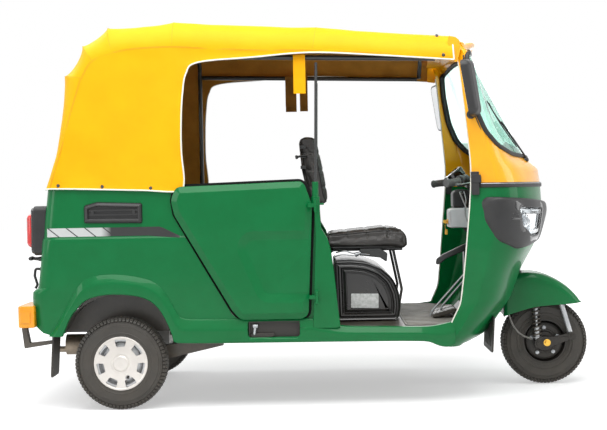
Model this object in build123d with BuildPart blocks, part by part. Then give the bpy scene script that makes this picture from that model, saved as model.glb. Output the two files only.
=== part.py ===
from build123d import *
import os
from math import cos, sin, radians

os.makedirs("parts", exist_ok=True)

# ---------------------------------------------------------------------------
# Auto rickshaw.  Millimetres.  +X forward, +Y to the vehicle's left, +Z up.
# The origin is on the floor, midway between the bumper and the front tyre.
# ---------------------------------------------------------------------------

# Running gear
LENGTH = 2650           # back of the bumper to the front of the front tyre
REAR_OVERHANG = 457     # back of the bumper to the rear axle
TYRE_R = 208            # 4.00-8 tyre
TYRE_W = 104
TRACK = 1150            # between the rear tyres' middle planes
RIM_R = 108             # where the tyre's bead sits
AXLE_R = 16
RUN = 0.4               # radial play of a wheel or stem on its shaft
STEER_RAKE = 25         # degrees back from the vertical
STEER_TRAIL = 115
WHEELBASE = LENGTH - REAR_OVERHANG - TYRE_R

# Tub
TUB_HALF = TRACK / 2 + 65           # half width over the sides
WALL = 26
ARCH_R = TYRE_R + 81
ARCH_Z = TYRE_R + 20
TUB_BACK = -ARCH_R - 74             # rear face, from the rear axle
TUB_CORNER = 110        # rounded rear corner, seen from above
REAR_PANEL_HALF = TUB_HALF - 200    # the rear panel meets the rear quarters here
BELT = 1000             # top edge of the tub
FLOOR_TOP = 350
FLOOR_T = 20
TUB_BOTTOM = FLOOR_TOP - 15         # bottom edge behind the wheel
SILL_BOTTOM = FLOOR_TOP - 58
SILL_TOP = FLOOR_TOP + 33           # under the door
SILL_W = 50
SILL_BACK = 530                     # from the rear axle
SILL_FRONT = -555                   # from the front axle
HINGE_GAP = 9           # around the door and the rear hatch
DOOR_OUT = TUB_HALF + 15            # outer face of the door
DOOR_IN = TUB_HALF - 23
HATCH_HALF = TUB_HALF - 268
HATCH_BOTTOM = 470
HATCH_TOP = BELT - 70

# Hood
HOOD_T = 10
HOOD_HALF = TUB_HALF - 8            # half width at the belt
HOOD_LEAN = 44          # the sides lean in by this much at the shoulder
HOOD_H = 755            # the belt to the crown of the roof
ROOF_TOP = BELT + HOOD_H
ROOF_HIGH_X = 250       # the crown's highest station, from the rear axle
ROOF_DROP = 82.5        # the roof is this much lower at its front end
ROOF_EDGE = 24          # the crown stands this far above the roof's edges
ROOF_EDGE_Y = HOOD_HALF - 152
SHOULDER_Z = ROOF_TOP - 141         # the side turns into the roof here
HOOD_FRONT = WHEELBASE - 485        # from the rear axle
ROOF_FALL = ROOF_DROP / (HOOD_FRONT - ROOF_HIGH_X)
TUBE_R = 11             # hood frame tube
FRAME_Y = HOOD_HALF - 82            # middle line of the hood frame's tubes

# Front
APRON_T = 18
WELL_HALF = 232         # half width of the recess that the front wheel turns in
WELL_BACK = -TYRE_R - 87            # its back, from the front axle
WELL_TOP = 2 * TYRE_R + 194
WELL_T = 6
STEM_R = 15
HEAD_R = 30


class Datum:
    """The point on the floor under an axle, and ways to add a shape measured from it.

    A point is (ahead, left, up).  An outline is a list of (ahead, up), drawn in side view.
    """

    def __init__(self, x):
        self.point = Vector(x, 0, 0)
        self.side = Plane(origin=self.point, x_dir=(1, 0, 0), z_dir=(0, -1, 0))     # offset goes right
        self.plan = Plane(origin=self.point, x_dir=(1, 0, 0), z_dir=(0, 0, 1))      # offset goes up
        self.cross = Plane(origin=self.point, x_dir=(0, 1, 0), z_dir=(1, 0, 0))     # offset goes ahead

    def at(self, point):
        return self.point + Vector(*point)

    def slab(self, outline, outer, inner, radius=0, mode=Mode.ADD):
        """A plate with that outline, between two distances to the right of the centre."""
        with BuildSketch(self.side.offset(outer)) as face:
            Polygon(*outline, align=None)
            if radius:
                fillet(vertices(), radius)
        extrude(face.sketch, amount=inner - outer, mode=mode)

    def box(self, low, high, mode=Mode.ADD):
        """A box from its low to its high corner."""
        corner, opposite = self.at(low), self.at(high)
        with Locations((corner + opposite) * 0.5):
            Box(*(opposite - corner), mode=mode)

    def rod(self, start, end, radius, mode=Mode.ADD):
        """A round rod between two points."""
        a, b = self.at(start), self.at(end)
        with BuildSketch(Plane(origin=a, z_dir=b - a)) as face:
            Circle(radius)
        extrude(face.sketch, amount=(b - a).length, mode=mode)

    def tube(self, points, radius, bend):
        """A round tube along straight runs joined by arcs."""
        places = [self.at(point) for point in points]
        with BuildLine() as route:
            FilletPolyline(*places, radius=bend)
        with BuildSketch(Plane(origin=places[0], z_dir=places[1] - places[0])) as face:
            Circle(radius)
        sweep(face.sketch, path=route.line)


rear = Datum(REAR_OVERHANG - LENGTH / 2)
front = Datum(LENGTH / 2 - TYRE_R)


def save(builder, name):
    """Label a finished piece and write it as its own STEP file."""
    builder.part.label = name
    export_step(builder.part, f"parts/{name}.step")


# --- tub ---------------------------------------------------------------------

# The door's outline, from the rear axle.  Its front edge stands at the door pillar.
DOOR = [(262, BELT - 8), (WHEELBASE - 1149, BELT + 4), (WHEELBASE - 1119, BELT - 95),
        (WHEELBASE - 1140, SILL_TOP + 10), (536, SILL_TOP + 10), (506, SILL_TOP + 44),
        (253, BELT - 133), (243, BELT - 67)]
DOOR_CORNER = 14

with BuildPart() as tub:
    with BuildSketch(rear.plan.offset(SILL_BOTTOM)):
        with BuildLine():
            outer = FilletPolyline((SILL_BACK, -TUB_HALF), (TUB_BACK, -TUB_HALF), (TUB_BACK, TUB_HALF),
                                   (SILL_BACK, TUB_HALF), radius=TUB_CORNER)
            Line(outer @ 1, outer @ 0)
        make_face()
        with BuildLine():
            inner = FilletPolyline((SILL_BACK, WALL - TUB_HALF), (TUB_BACK + WALL, WALL - TUB_HALF),
                                   (TUB_BACK + WALL, TUB_HALF - WALL), (SILL_BACK, TUB_HALF - WALL),
                                   radius=TUB_CORNER - WALL)
            Line(inner @ 1, inner @ 0)
        make_face(mode=Mode.SUBTRACT)
    extrude(amount=BELT - SILL_BOTTOM)
    # wheel arches, through both sides
    with BuildSketch(rear.side):
        with Locations((0, ARCH_Z)):
            Circle(ARCH_R)
    extrude(amount=TUB_HALF, both=True, mode=Mode.SUBTRACT)
    # the bottom edge is higher behind the wheel
    rear.box((TUB_BACK, -TUB_HALF, SILL_BOTTOM), (0, TUB_HALF, TUB_BOTTOM), mode=Mode.SUBTRACT)
    # the door's aperture, and the entrance opposite it
    with BuildSketch(rear.side):
        Polygon(*DOOR, align=None)
        offset(amount=HINGE_GAP, kind=Kind.INTERSECTION)
    extrude(amount=TUB_HALF, both=True, mode=Mode.SUBTRACT)

with BuildPart() as quarters:
    add(tub.part)
    rear.box((TUB_BACK, -REAR_PANEL_HALF, SILL_BOTTOM), (TUB_BACK + TUB_CORNER, REAR_PANEL_HALF, BELT),
             mode=Mode.SUBTRACT)
save(quarters, "rear_quarters")

with BuildPart() as rear_panel:
    rear.box((TUB_BACK, -REAR_PANEL_HALF, TUB_BOTTOM), (TUB_BACK + WALL, REAR_PANEL_HALF, BELT))
    rear.box((TUB_BACK, -HATCH_HALF - HINGE_GAP, HATCH_BOTTOM - HINGE_GAP),
             (TUB_BACK + WALL, HATCH_HALF + HINGE_GAP, HATCH_TOP + HINGE_GAP), mode=Mode.SUBTRACT)
save(rear_panel, "rear_panel")

PARTITION_X = -1113     # from the front axle
with BuildPart() as sills:
    for side in (1, -1):
        step = WHEELBASE + PARTITION_X
        rear.slab([(SILL_BACK, SILL_BOTTOM), (WHEELBASE + SILL_FRONT - 60, SILL_BOTTOM),
                   (WHEELBASE + SILL_FRONT, FLOOR_TOP), (step, FLOOR_TOP), (step, SILL_TOP),
                   (SILL_BACK, SILL_TOP)],
                  side * TUB_HALF, side * (TUB_HALF - SILL_W))
save(sills, "sills")

# --- door and rear hatch ---------------------------------------------------------

HINGE_X = -1105         # upright hinge line of the door, from the front axle
HINGE_Y = DOOR_OUT + 9
HINGE_R = 7
HINGE_H = 50
HINGE_LEAF = 4
DOOR_HINGES = (SILL_TOP + 177, BELT - 150)      # height of each hinge's lower end

with BuildPart() as door:
    rear.slab(DOOR, DOOR_OUT, DOOR_IN, radius=DOOR_CORNER)
    for z in DOOR_HINGES:
        # a leaf on the door's face, and the knuckle it ends in
        front.box((HINGE_X - 90, -DOOR_OUT - HINGE_LEAF, z), (HINGE_X, -DOOR_OUT, z + HINGE_H))
        front.rod((HINGE_X, -HINGE_Y, z), (HINGE_X, -HINGE_Y, z + HINGE_H), HINGE_R + HINGE_LEAF)
        front.rod((HINGE_X, -HINGE_Y, z), (HINGE_X, -HINGE_Y, z + HINGE_H), HINGE_R + RUN, mode=Mode.SUBTRACT)
save(door, "door_right")

HATCH_SKIN = 24
with BuildPart() as hatch:
    rear.box((TUB_BACK, -HATCH_HALF, HATCH_BOTTOM), (TUB_BACK + HATCH_SKIN, HATCH_HALF, HATCH_TOP))
    fillet(hatch.edges().filter_by(Axis.X), 30)
save(hatch, "rear_hatch")

LATCH_Y = 250
with BuildPart() as latches:
    for y in (-LATCH_Y, LATCH_Y):
        rear.box((TUB_BACK - 12, y - 22, HATCH_BOTTOM + 20), (TUB_BACK, y + 22, HATCH_BOTTOM + 70))
        rear.box((TUB_BACK - 45, y - 12, HATCH_BOTTOM + 30), (TUB_BACK - 12, y + 12, HATCH_BOTTOM + 60))
save(latches, "hatch_latches")

# --- rear fittings -----------------------------------------------------------------

BUMPER_BACK = -REAR_OVERHANG
BUMPER_Z = FLOOR_TOP + 22
BUMPER_H = 90
BUMPER_T = 45
BUMPER_HALF = TUB_HALF - 40
BUMPER_END = 90         # length of each coloured end
PLATE_HOLES = 160       # between the number plate's two holes
PLATE_HOLE_R = 3.5
PLATE_Z = BUMPER_Z + BUMPER_H / 2
TOW_T = 12
TOW_HOLE_R = 12
with BuildPart() as bumper:
    middle = BUMPER_BACK + BUMPER_T / 2
    rear.box((BUMPER_BACK, BUMPER_END - BUMPER_HALF, BUMPER_Z),
             (BUMPER_BACK + BUMPER_T, BUMPER_HALF - BUMPER_END, BUMPER_Z + BUMPER_H))
    for y in (25 - REAR_PANEL_HALF, REAR_PANEL_HALF - 25):
        rear.box((BUMPER_BACK + BUMPER_T, y - 25, BUMPER_Z), (TUB_BACK, y + 25, BUMPER_Z + 60))
    # two holes for a number plate, and a towing eye under the middle
    for y in (-PLATE_HOLES / 2, PLATE_HOLES / 2):
        rear.rod((BUMPER_BACK - 1, y, PLATE_Z), (BUMPER_BACK + BUMPER_T + 1, y, PLATE_Z), PLATE_HOLE_R,
                 mode=Mode.SUBTRACT)
    rear.box((BUMPER_BACK, -TOW_T / 2, BUMPER_Z - 44), (BUMPER_BACK + BUMPER_T, TOW_T / 2, BUMPER_Z))
    rear.rod((middle, -TOW_T, BUMPER_Z - 22), (middle, TOW_T, BUMPER_Z - 22), TOW_HOLE_R, mode=Mode.SUBTRACT)
save(bumper, "rear_bumper")

with BuildPart() as bumper_ends:
    for side in (1, -1):
        low, high = BUMPER_Z, BUMPER_Z + BUMPER_H
        rear.slab([(BUMPER_BACK, low), (BUMPER_BACK + 80, low), (BUMPER_BACK + 80, high), (BUMPER_BACK, high)],
                  side * BUMPER_HALF, side * (BUMPER_HALF - BUMPER_END))
save(bumper_ends, "bumper_ends")

LAMP_H = 222
LAMP_W = 100
LAMP_DEPTH = 66
with BuildPart() as tail_lamps:
    for side in (1, -1):
        with BuildSketch(rear.cross.offset(TUB_BACK)):
            with Locations((side * (TUB_HALF - TUB_CORNER - 55), BELT - 195)):
                RectangleRounded(LAMP_W, LAMP_H, 36)
        extrude(amount=-LAMP_DEPTH)
    fillet(tail_lamps.faces().sort_by(Axis.X)[:2].edges(), 26)
save(tail_lamps, "tail_lamps")

with BuildPart() as side_vents:
    for side in (1, -1):
        outline = [(-150, BELT - 165), (105, BELT - 165), (109, BELT - 155), (109, BELT - 90),
                   (96, BELT - 79), (-138, BELT - 77), (-150, BELT - 88)]
        rear.slab(outline, side * (TUB_HALF + 8), side * TUB_HALF)
save(side_vents, "side_vents")

# --- under and around the bench ---------------------------------------------------------

TUB_R = ARCH_R + 6      # the rear wheel tubs stand just outside the arches
TUB_IN = TRACK / 2 - 120
WHEEL_TUB_T = 5
with BuildPart() as wheel_tubs:
    for side in (1, -1):
        outer_y, inner_y = side * (TUB_HALF - WALL), side * TUB_IN
        for radius, wall, mode in ((TUB_R, 0, Mode.ADD), (TUB_R - WHEEL_TUB_T, WHEEL_TUB_T, Mode.SUBTRACT)):
            with BuildSketch(rear.side.offset(outer_y)):
                with Locations((0, ARCH_Z)):
                    Circle(radius)
            extrude(amount=inner_y - outer_y + side * wall, mode=mode)
    rear.box((-TUB_R, -TUB_HALF, -TUB_R), (TUB_R, TUB_HALF, TUB_BOTTOM), mode=Mode.SUBTRACT)
    add(tub.part, mode=Mode.SUBTRACT)

BENCH_FRONT = ARCH_R + 1
BENCH_BACK = -170
BENCH_T = 12
SEAT_Z = ARCH_Z + ARCH_R + 73       # underside of the passengers' cushion
BENCH_HALF = TUB_HALF - WALL
with BuildPart() as bench:
    # a box under the bench, open to the engine below
    rear.box((BENCH_BACK, -BENCH_HALF, TUB_BOTTOM + 40), (BENCH_FRONT, BENCH_HALF, SEAT_Z))
    rear.box((BENCH_BACK + BENCH_T, BENCH_T - BENCH_HALF, TUB_BOTTOM + 39),
             (BENCH_FRONT - BENCH_T, BENCH_HALF - BENCH_T, SEAT_Z - BENCH_T), mode=Mode.SUBTRACT)
    # the front board comes down to the floor
    rear.box((BENCH_FRONT - BENCH_T, SILL_W - TUB_HALF, FLOOR_TOP),
             (BENCH_FRONT, TUB_HALF - SILL_W, TUB_BOTTOM + 40))
    # room for the wheel tubs
    for side in (1, -1):
        with BuildSketch(rear.side.offset(side * TUB_HALF)):
            with Locations((0, ARCH_Z)):
                Circle(TUB_R)
        extrude(amount=side * (TUB_IN - TUB_HALF), mode=Mode.SUBTRACT)
save(bench, "seat_base")

CUSHION_T = 105
with BuildPart() as passenger_seat:
    rear.slab([(BENCH_BACK + 5, SEAT_Z), (BENCH_FRONT + 2, SEAT_Z), (BENCH_FRONT + 10, SEAT_Z + CUSHION_T),
               (BENCH_BACK + 5, SEAT_Z + CUSHION_T - 15)], BENCH_HALF - 29, 29 - BENCH_HALF, radius=24)
save(passenger_seat, "passenger_seat")

BACK_TOP = BELT + 150
BACK_HALF = FRAME_Y - 22
with BuildPart() as passenger_backrest:
    rear.slab([(BENCH_BACK, SEAT_Z + CUSHION_T + 2), (BENCH_BACK + 85, SEAT_Z + CUSHION_T + 2),
               (BENCH_BACK + 20, BACK_TOP), (BENCH_BACK - 55, BACK_TOP)], BACK_HALF, -BACK_HALF, radius=24)
save(passenger_backrest, "passenger_backrest")

# --- engine, rear suspension, chassis ------------------------------------------------------

ENGINE_HALF = 120
with BuildPart() as engine:
    rear.box((-150, -ENGINE_HALF, TYRE_R + 27), (160, ENGINE_HALF, FLOOR_TOP + 150))
save(engine, "engine")

SPINE_H = 46
SPINE_Z = FLOOR_TOP - FLOOR_T
SPINE_Y = ENGINE_HALF + 30
SPINE_RISE = 210        # the rails rise this far over the rear axle
CROSS_H = 36
ARM_X = 420             # pivot of the trailing arms
ARM_Z = SPINE_Z - CROSS_H
ARM_Y = (TRACK / 2 - 165, TRACK / 2 - 127)      # inner and outer faces
DAMPER_Y = ARM_Y[0] - 30
with BuildPart() as rear_suspension:
    for side in (1, -1):
        rear.slab([(-38, TYRE_R - 30), (38, TYRE_R - 36), (ARM_X + 26, ARM_Z - 32), (ARM_X + 26, ARM_Z),
                   (ARM_X - 40, ARM_Z), (38, TYRE_R + 40), (-38, TYRE_R + 30)],
                  side * ARM_Y[1], side * ARM_Y[0])
        rear.rod((0, side * (ARM_Y[0] + 2), TYRE_R), (0, side * (ENGINE_HALF + 4), TYRE_R + 60), 15)
        rear.rod((0, -side * ARM_Y[1], TYRE_R), (0, -side * (TRACK / 2 + 31), TYRE_R), AXLE_R)
        # spring and damper over each arm
        rear.rod((60, side * DAMPER_Y, TYRE_R + 27), (90, side * DAMPER_Y, TYRE_R + 212), 26)
        rear.rod((90, side * DAMPER_Y, TYRE_R + 212), (105, side * DAMPER_Y, SEAT_Z - BENCH_T - 2), 12)
        rear.rod((60, side * (DAMPER_Y + 5), TYRE_R + 54), (60, side * ARM_Y[0], TYRE_R + 54), 9)
save(rear_suspension, "rear_suspension")

SILENCER_Z = TYRE_R + 54
with BuildPart() as silencer:
    rear.rod((-300, -300, SILENCER_Z), (-60, -300, SILENCER_Z), 48)
    rear.rod((-120, -290, SILENCER_Z), (-120, -ENGINE_HALF, SILENCER_Z), 16)
    rear.rod((-340, -300, SILENCER_Z - 22), (-290, -300, SILENCER_Z - 22), 14)
save(silencer, "silencer")

SPINE_FRONT = WHEELBASE + WELL_BACK - 40
with BuildPart() as chassis:
    for y in (-SPINE_Y, SPINE_Y):
        rear.box((-150, y - 20, SPINE_Z - SPINE_H + SPINE_RISE), (170, y + 20, SPINE_Z + SPINE_RISE))
        rear.box((170, y - 20, SPINE_Z - SPINE_H), (SPINE_FRONT, y + 20, SPINE_Z))
        rear.box((170, y - 20, SPINE_Z - SPINE_H), (230, y + 20, SPINE_Z + SPINE_RISE))
    for x in (ARM_X, WHEELBASE - 1085, WHEELBASE - 585):
        rear.box((x - 20, SILL_W - TUB_HALF, SPINE_Z - CROSS_H), (x + 20, TUB_HALF - SILL_W, SPINE_Z))
save(chassis, "chassis_frame")

# --- driver's place --------------------------------------------------------------------------

PILLAR_W = 38           # each door pillar is this deep, from the tub's side inwards
PILLAR_TOP = BELT - 95
PILLAR_X = -1096
with BuildPart() as pillars:
    for side in (1, -1):
        front.slab([(PILLAR_X, PILLAR_TOP), (-1080, PILLAR_TOP), (-1075, PILLAR_TOP - 90),
                    (-1039, PILLAR_TOP - 184), (-1003, FLOOR_TOP + 171), (-983, SILL_TOP),
                    (-983, FLOOR_TOP), (PILLAR_X, FLOOR_TOP)],
                   side * TUB_HALF, side * (TUB_HALF - PILLAR_W))
    # the pins that the door turns on stand out from the right pillar
    for z in DOOR_HINGES:
        front.box((HINGE_X - 8, -HINGE_Y - 8, z - 12), (PILLAR_X + 11, -TUB_HALF, z - 1))
        front.rod((HINGE_X, -HINGE_Y, z - 6), (HINGE_X, -HINGE_Y, z + HINGE_H + 6), HINGE_R)
save(pillars, "door_pillars")

PARTITION_T = 18
with BuildPart() as partition:
    half = TUB_HALF - PILLAR_W
    front.box((PARTITION_X, -half, FLOOR_TOP), (PARTITION_X + PARTITION_T, half, PILLAR_TOP))
save(partition, "partition")

DRIVER_HALF = 235
with BuildPart() as driver_seat:
    front.slab([(-1070, FLOOR_TOP + 340), (-734, FLOOR_TOP + 328), (-670, FLOOR_TOP + 340),
                (-667, FLOOR_TOP + 415), (-779, FLOOR_TOP + 436), (-1063, FLOOR_TOP + 414)],
               DRIVER_HALF, -DRIVER_HALF, radius=10)
save(driver_seat, "driver_seat")

with BuildPart() as driver_backrest:
    front.slab([(-1085, PILLAR_TOP), (-1055, PILLAR_TOP - 5), (-1070, PILLAR_TOP + 155),
                (-1101, PILLAR_TOP + 317), (-1147, PILLAR_TOP + 317), (-1123, PILLAR_TOP + 155)],
               DRIVER_HALF, -DRIVER_HALF, radius=12)
save(driver_backrest, "driver_backrest")

RAIL_Y = 180
with BuildPart() as seat_rails:
    for x in (-1055, -699):
        for y in (-RAIL_Y, RAIL_Y):
            front.rod((x, y, FLOOR_TOP), (x, y, FLOOR_TOP + 350), 10)
    add(driver_seat.part, mode=Mode.SUBTRACT)
save(seat_rails, "driver_seat_rails")

BOX_HALF = 340
with BuildPart() as tank_box:
    front.slab([(-1025, FLOOR_TOP), (-727, FLOOR_TOP), (-711, FLOOR_TOP + 97), (-743, FLOOR_TOP + 167),
                (-834, FLOOR_TOP + 276), (-1019, FLOOR_TOP + 310)], BOX_HALF, -BOX_HALF, radius=20)
save(tank_box, "tank_box")

# --- nose ---------------------------------------------------------------------------------------

# Level sections of the apron: share of the height from the sills' bottom up to the belt, rear
# edge of the side, how far the side stands in from the tub's, where it starts to turn in,
# front corner (ahead, in from the tub's side), front at the centre.  From the front axle.
APRON_LEVELS = (
    (-0.059, -565, 88, -535, -445, 240, -365),
    (0.000, -527, 74, -495, -360, 240, -270),
    (0.218, -461, 55, -395, -248, 230, -170),
    (0.408, -445, 38, -355, -200, 220, -117),
    (0.562, -435, 25, -325, -140, 210, -50),
    (0.788, -420, 18, -295, -100, 200, -1),
    (1.000, -407, 26, -295, -105, 210, 1),
)
# The same for the windscreen's frame, by height.
SCREEN_LEVELS = (
    (BELT, -407, 26, -295, -105, 210, -1),
    (BELT + 68, -408, 31, -315, -135, 220, -27),
    (BELT + 112, -409, 35, -325, -170, 225, -63),
    (ROOF_TOP - 246, -451, 60, -405, -345, 210, -264),
    (ROOF_TOP - 115, -473, 88, -455, -405, 220, -321),
)
apron_levels = [(SILL_BOTTOM + share * (BELT - SILL_BOTTOM), *rest) for share, *rest in APRON_LEVELS]


def nose(levels, grow=0, back=0):
    """Loft the level sections, each grown outwards and, for a cutting tool, drawn back."""
    with BuildPart() as lofted:
        for z, edge, inset, turn, corner_x, corner_inset, tip in levels:
            side, edge = TUB_HALF - inset + grow, edge - back
            corner_x, corner_y = corner_x + 0.7 * grow, TUB_HALF - corner_inset + 0.7 * grow
            with BuildSketch(front.plan.offset(z)):
                with BuildLine():
                    Line((edge, -side), (turn, -side))
                    TangentArc((turn, -side), (corner_x, -corner_y), tangent=(1, 0))
                    ThreePointArc((corner_x, -corner_y), (tip + grow, 0), (corner_x, corner_y))
                    TangentArc((turn, side), (corner_x, corner_y), tangent=(1, 0))
                    Line((turn, side), (edge, side))
                    Line((edge, side), (edge, -side))
                make_face()
        loft(ruled=True)
    return lofted.part


rake = radians(STEER_RAKE)


def steer_point(along, left=0.0):
    """A point by its distance up the steering axis from the floor, and left of it."""
    return (STEER_TRAIL - along * sin(rake), left, along * cos(rake))


HEAD_LOW = WELL_TOP + 55        # ends of the head tube, up the steering axis
HEAD_HIGH = HEAD_LOW + 195
BRIDGE_UP = HEAD_LOW - 90       # the fork's bridge
BAR_UP = BELT + 85              # the handlebar crosses the axis here
CLAMP_H = 13                                # half height of the clamp round the bar

apron_solid = nose(apron_levels)
apron_hollow = nose(apron_levels, grow=-APRON_T, back=80)
with BuildPart() as apron:
    add(apron_solid)
    add(apron_hollow, mode=Mode.SUBTRACT)
    front.box((WELL_BACK, -WELL_HALF, 200), (65, WELL_HALF, WELL_TOP), mode=Mode.SUBTRACT)
    front.rod(steer_point(HEAD_LOW - 60), steer_point(HEAD_HIGH), HEAD_R + 8, mode=Mode.SUBTRACT)
save(apron, "front_apron")

with BuildPart() as wheel_wells:
    front.box((WELL_BACK - WELL_T, -WELL_HALF - WELL_T, SILL_BOTTOM),
              (-105, WELL_HALF + WELL_T, WELL_TOP + WELL_T))
    front.box((WELL_BACK, -WELL_HALF, SILL_BOTTOM - 1), (-104, WELL_HALF, WELL_TOP), mode=Mode.SUBTRACT)
    add(apron_hollow, mode=Mode.INTERSECT)
    front.rod(steer_point(HEAD_LOW - 60), steer_point(HEAD_HIGH), HEAD_R + 0.5, mode=Mode.SUBTRACT)
    add(wheel_tubs.part)
save(wheel_wells, "wheel_wells")

FLOOR_NECK = -550       # the floor narrows into the apron from here on
with BuildPart() as front_floor:
    front.box((FLOOR_NECK, -TUB_HALF, FLOOR_TOP - FLOOR_T), (WELL_BACK - WELL_T, TUB_HALF, FLOOR_TOP))
    add(apron_hollow, mode=Mode.INTERSECT)

with BuildPart() as floor:
    rear.box((BENCH_FRONT - BENCH_T - 2, SILL_W - TUB_HALF, FLOOR_TOP - FLOOR_T),
             (WHEELBASE + FLOOR_NECK, TUB_HALF - SILL_W, FLOOR_TOP))
    add(front_floor.part)
    add(wheel_tubs.part, mode=Mode.SUBTRACT)
save(floor, "floor")

FLAP_T = 8
FLAP_BOTTOM = TYRE_R - 53
FLAP_Y = (TUB_HALF - 170, TUB_HALF - TUB_CORNER - 2)
with BuildPart() as flaps:
    for side in (1, -1):
        back, top = TUB_BACK + WALL, TUB_BOTTOM + 40
        rear.slab([(back, FLAP_BOTTOM), (back + FLAP_T, FLAP_BOTTOM), (back + FLAP_T, top), (back, top)],
                  side * FLAP_Y[1], side * FLAP_Y[0])
    front.box((WELL_BACK, -200, FLAP_BOTTOM), (WELL_BACK + FLAP_T, 200, SILL_BOTTOM + 40))
    add(wheel_tubs.part, mode=Mode.SUBTRACT)
save(flaps, "mudflaps")

POST_X = (WELL_BACK - 90, WELL_BACK - 40)
with BuildPart() as head:
    beam = WELL_TOP + WELL_T
    front.rod(steer_point(HEAD_LOW), steer_point(HEAD_HIGH), HEAD_R)
    front.box((POST_X[0], -30, beam), (WELL_BACK + 100, 30, beam + 60))
    front.box((POST_X[0], -30, FLOOR_TOP), (POST_X[1], 30, beam + 60))
    front.rod(steer_point(HEAD_LOW - 40), steer_point(HEAD_HIGH + 1), STEM_R + RUN, mode=Mode.SUBTRACT)
save(head, "steering_head")

# Side views of a headlamp's housing and of its lens
LAMP_OUTLINE = [(-354, BELT - 81), (-25, BELT - 114), (-25, BELT - 214), (-79, BELT - 282),
                (-175, BELT - 308), (-265, BELT - 260), (-332, BELT - 163)]
LENS_OUTLINE = [(-200, BELT - 129), (-80, BELT - 140), (-85, BELT - 259), (-138, BELT - 255),
                (-187, BELT - 212)]
LAMP_IN = 240           # the housings reach in to this distance from the centre
LENS_REACH = 300
HOUSING_T = 14
LENS_T = 6
lamp_skin = nose(apron_levels, grow=HOUSING_T)
with BuildPart() as headlamps:
    for side in (1, -1):
        front.slab(LAMP_OUTLINE, side * (TUB_HALF + 20), side * LAMP_IN)
    add(lamp_skin, mode=Mode.INTERSECT)
    add(apron_solid, mode=Mode.SUBTRACT)
save(headlamps, "headlamp_housings")

with BuildPart() as lenses:
    for side in (1, -1):
        front.slab(LENS_OUTLINE, side * (TUB_HALF + 20), side * LENS_REACH)
    add(nose(apron_levels, grow=HOUSING_T + LENS_T), mode=Mode.INTERSECT)
    add(lamp_skin, mode=Mode.SUBTRACT)
save(lenses, "headlamp_lenses")

SCREEN_Z = (BELT + 118, ROOF_TOP - 159)
SCREEN_HALF = (TUB_HALF - 100, TUB_HALF - 140)      # half width at the bottom and at the top
SCREEN_FIT = 0.5
GLASS_IN = 6            # the glass lies this far inside the frame's outer face
GLASS_T = 5
SCREEN_CORNER = 50
screen_opening = [(-SCREEN_HALF[0], SCREEN_Z[0]), (SCREEN_HALF[0], SCREEN_Z[0]),
                  (SCREEN_HALF[1], SCREEN_Z[1]), (-SCREEN_HALF[1], SCREEN_Z[1])]
screen_solid = nose(SCREEN_LEVELS)
screen_top = SCREEN_LEVELS[-1][0]
with BuildPart() as screen_roof:
    add(screen_solid)
    front.box((-500, -TUB_HALF, screen_top - APRON_T), (0, TUB_HALF, screen_top), mode=Mode.INTERSECT)

with BuildPart() as screen_frame:
    add(screen_solid)
    add(nose(SCREEN_LEVELS, grow=-APRON_T, back=40), mode=Mode.SUBTRACT)
    with BuildSketch(front.cross.offset(-425)):
        Polygon(*screen_opening, align=None)
        fillet(vertices(), SCREEN_CORNER)
    extrude(amount=500, mode=Mode.SUBTRACT)
    add(screen_roof.part)
save(screen_frame, "windscreen_frame")

with BuildPart() as windscreen:
    add(nose(SCREEN_LEVELS, grow=-GLASS_IN))
    add(nose(SCREEN_LEVELS, grow=-GLASS_IN - GLASS_T, back=40), mode=Mode.SUBTRACT)
    with BuildSketch(front.cross.offset(-425)):
        Polygon(*screen_opening, align=None)
        fillet(vertices(), SCREEN_CORNER)
        offset(amount=-SCREEN_FIT)
    extrude(amount=500, mode=Mode.INTERSECT)
save(windscreen, "windscreen")

with BuildPart() as wiper:
    front.rod((-80, -120, BELT + 98), (-30, -120, BELT + 98), 9)
    front.rod((-37, -120, BELT + 98), (-185, -300, BELT + 290), 5)
    add(screen_solid, mode=Mode.SUBTRACT)
save(wiper, "wiper")

MIRROR_X = -425
MIRROR_Y = TUB_HALF + 50
MIRROR_Z = (BELT + 310, BELT + 500)
with BuildPart() as mirrors:
    for side in (1, -1):
        # an arm at each end of an upright stem that carries the housing
        ends = (MIRROR_Z[0] - 20, MIRROR_Z[1] + 9)
        for z, root in zip(ends, (TUB_HALF - 60, TUB_HALF - 70)):
            front.rod((MIRROR_X, side * root, z), (MIRROR_X, side * MIRROR_Y, z), 7)
        front.rod((MIRROR_X, side * MIRROR_Y, ends[0]), (MIRROR_X, side * MIRROR_Y, ends[1]), 7)
        outline = [(MIRROR_X - 15, MIRROR_Z[0]), (MIRROR_X + 15, MIRROR_Z[0]), (MIRROR_X + 15, MIRROR_Z[1]),
                   (MIRROR_X - 15, MIRROR_Z[1])]
        front.slab(outline, side * (MIRROR_Y + 70), side * (MIRROR_Y - 50))
    add(screen_solid, mode=Mode.SUBTRACT)
save(mirrors, "mirrors")

with BuildPart() as column:
    top = BAR_UP - 45
    front.rod(steer_point(HEAD_HIGH), steer_point(top), 62)
    front.box((-345, -60, BELT - 200), (-40, 60, BELT - 160))
    front.rod(steer_point(HEAD_HIGH - 100), steer_point(top + 1), STEM_R + 12, mode=Mode.SUBTRACT)
    add(head.part, mode=Mode.SUBTRACT)
save(column, "column_cover")

with BuildPart() as controls:
    # brake pedal on its post, and a hand lever standing on the floor
    front.slab([(-585, FLOOR_TOP + 22), (-465, FLOOR_TOP + 70), (-461, FLOOR_TOP + 62),
                (-581, FLOOR_TOP + 14)], 260, 180)
    front.box((-478, -228, FLOOR_TOP), (-464, -212, FLOOR_TOP + 62))
    front.tube([(-385, -330, FLOOR_TOP), (-385, -330, FLOOR_TOP + 170), (-430, -330, FLOOR_TOP + 300),
                (-545, -330, FLOOR_TOP + 340)], 9, 40)
save(controls, "foot_and_hand_controls")

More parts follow.
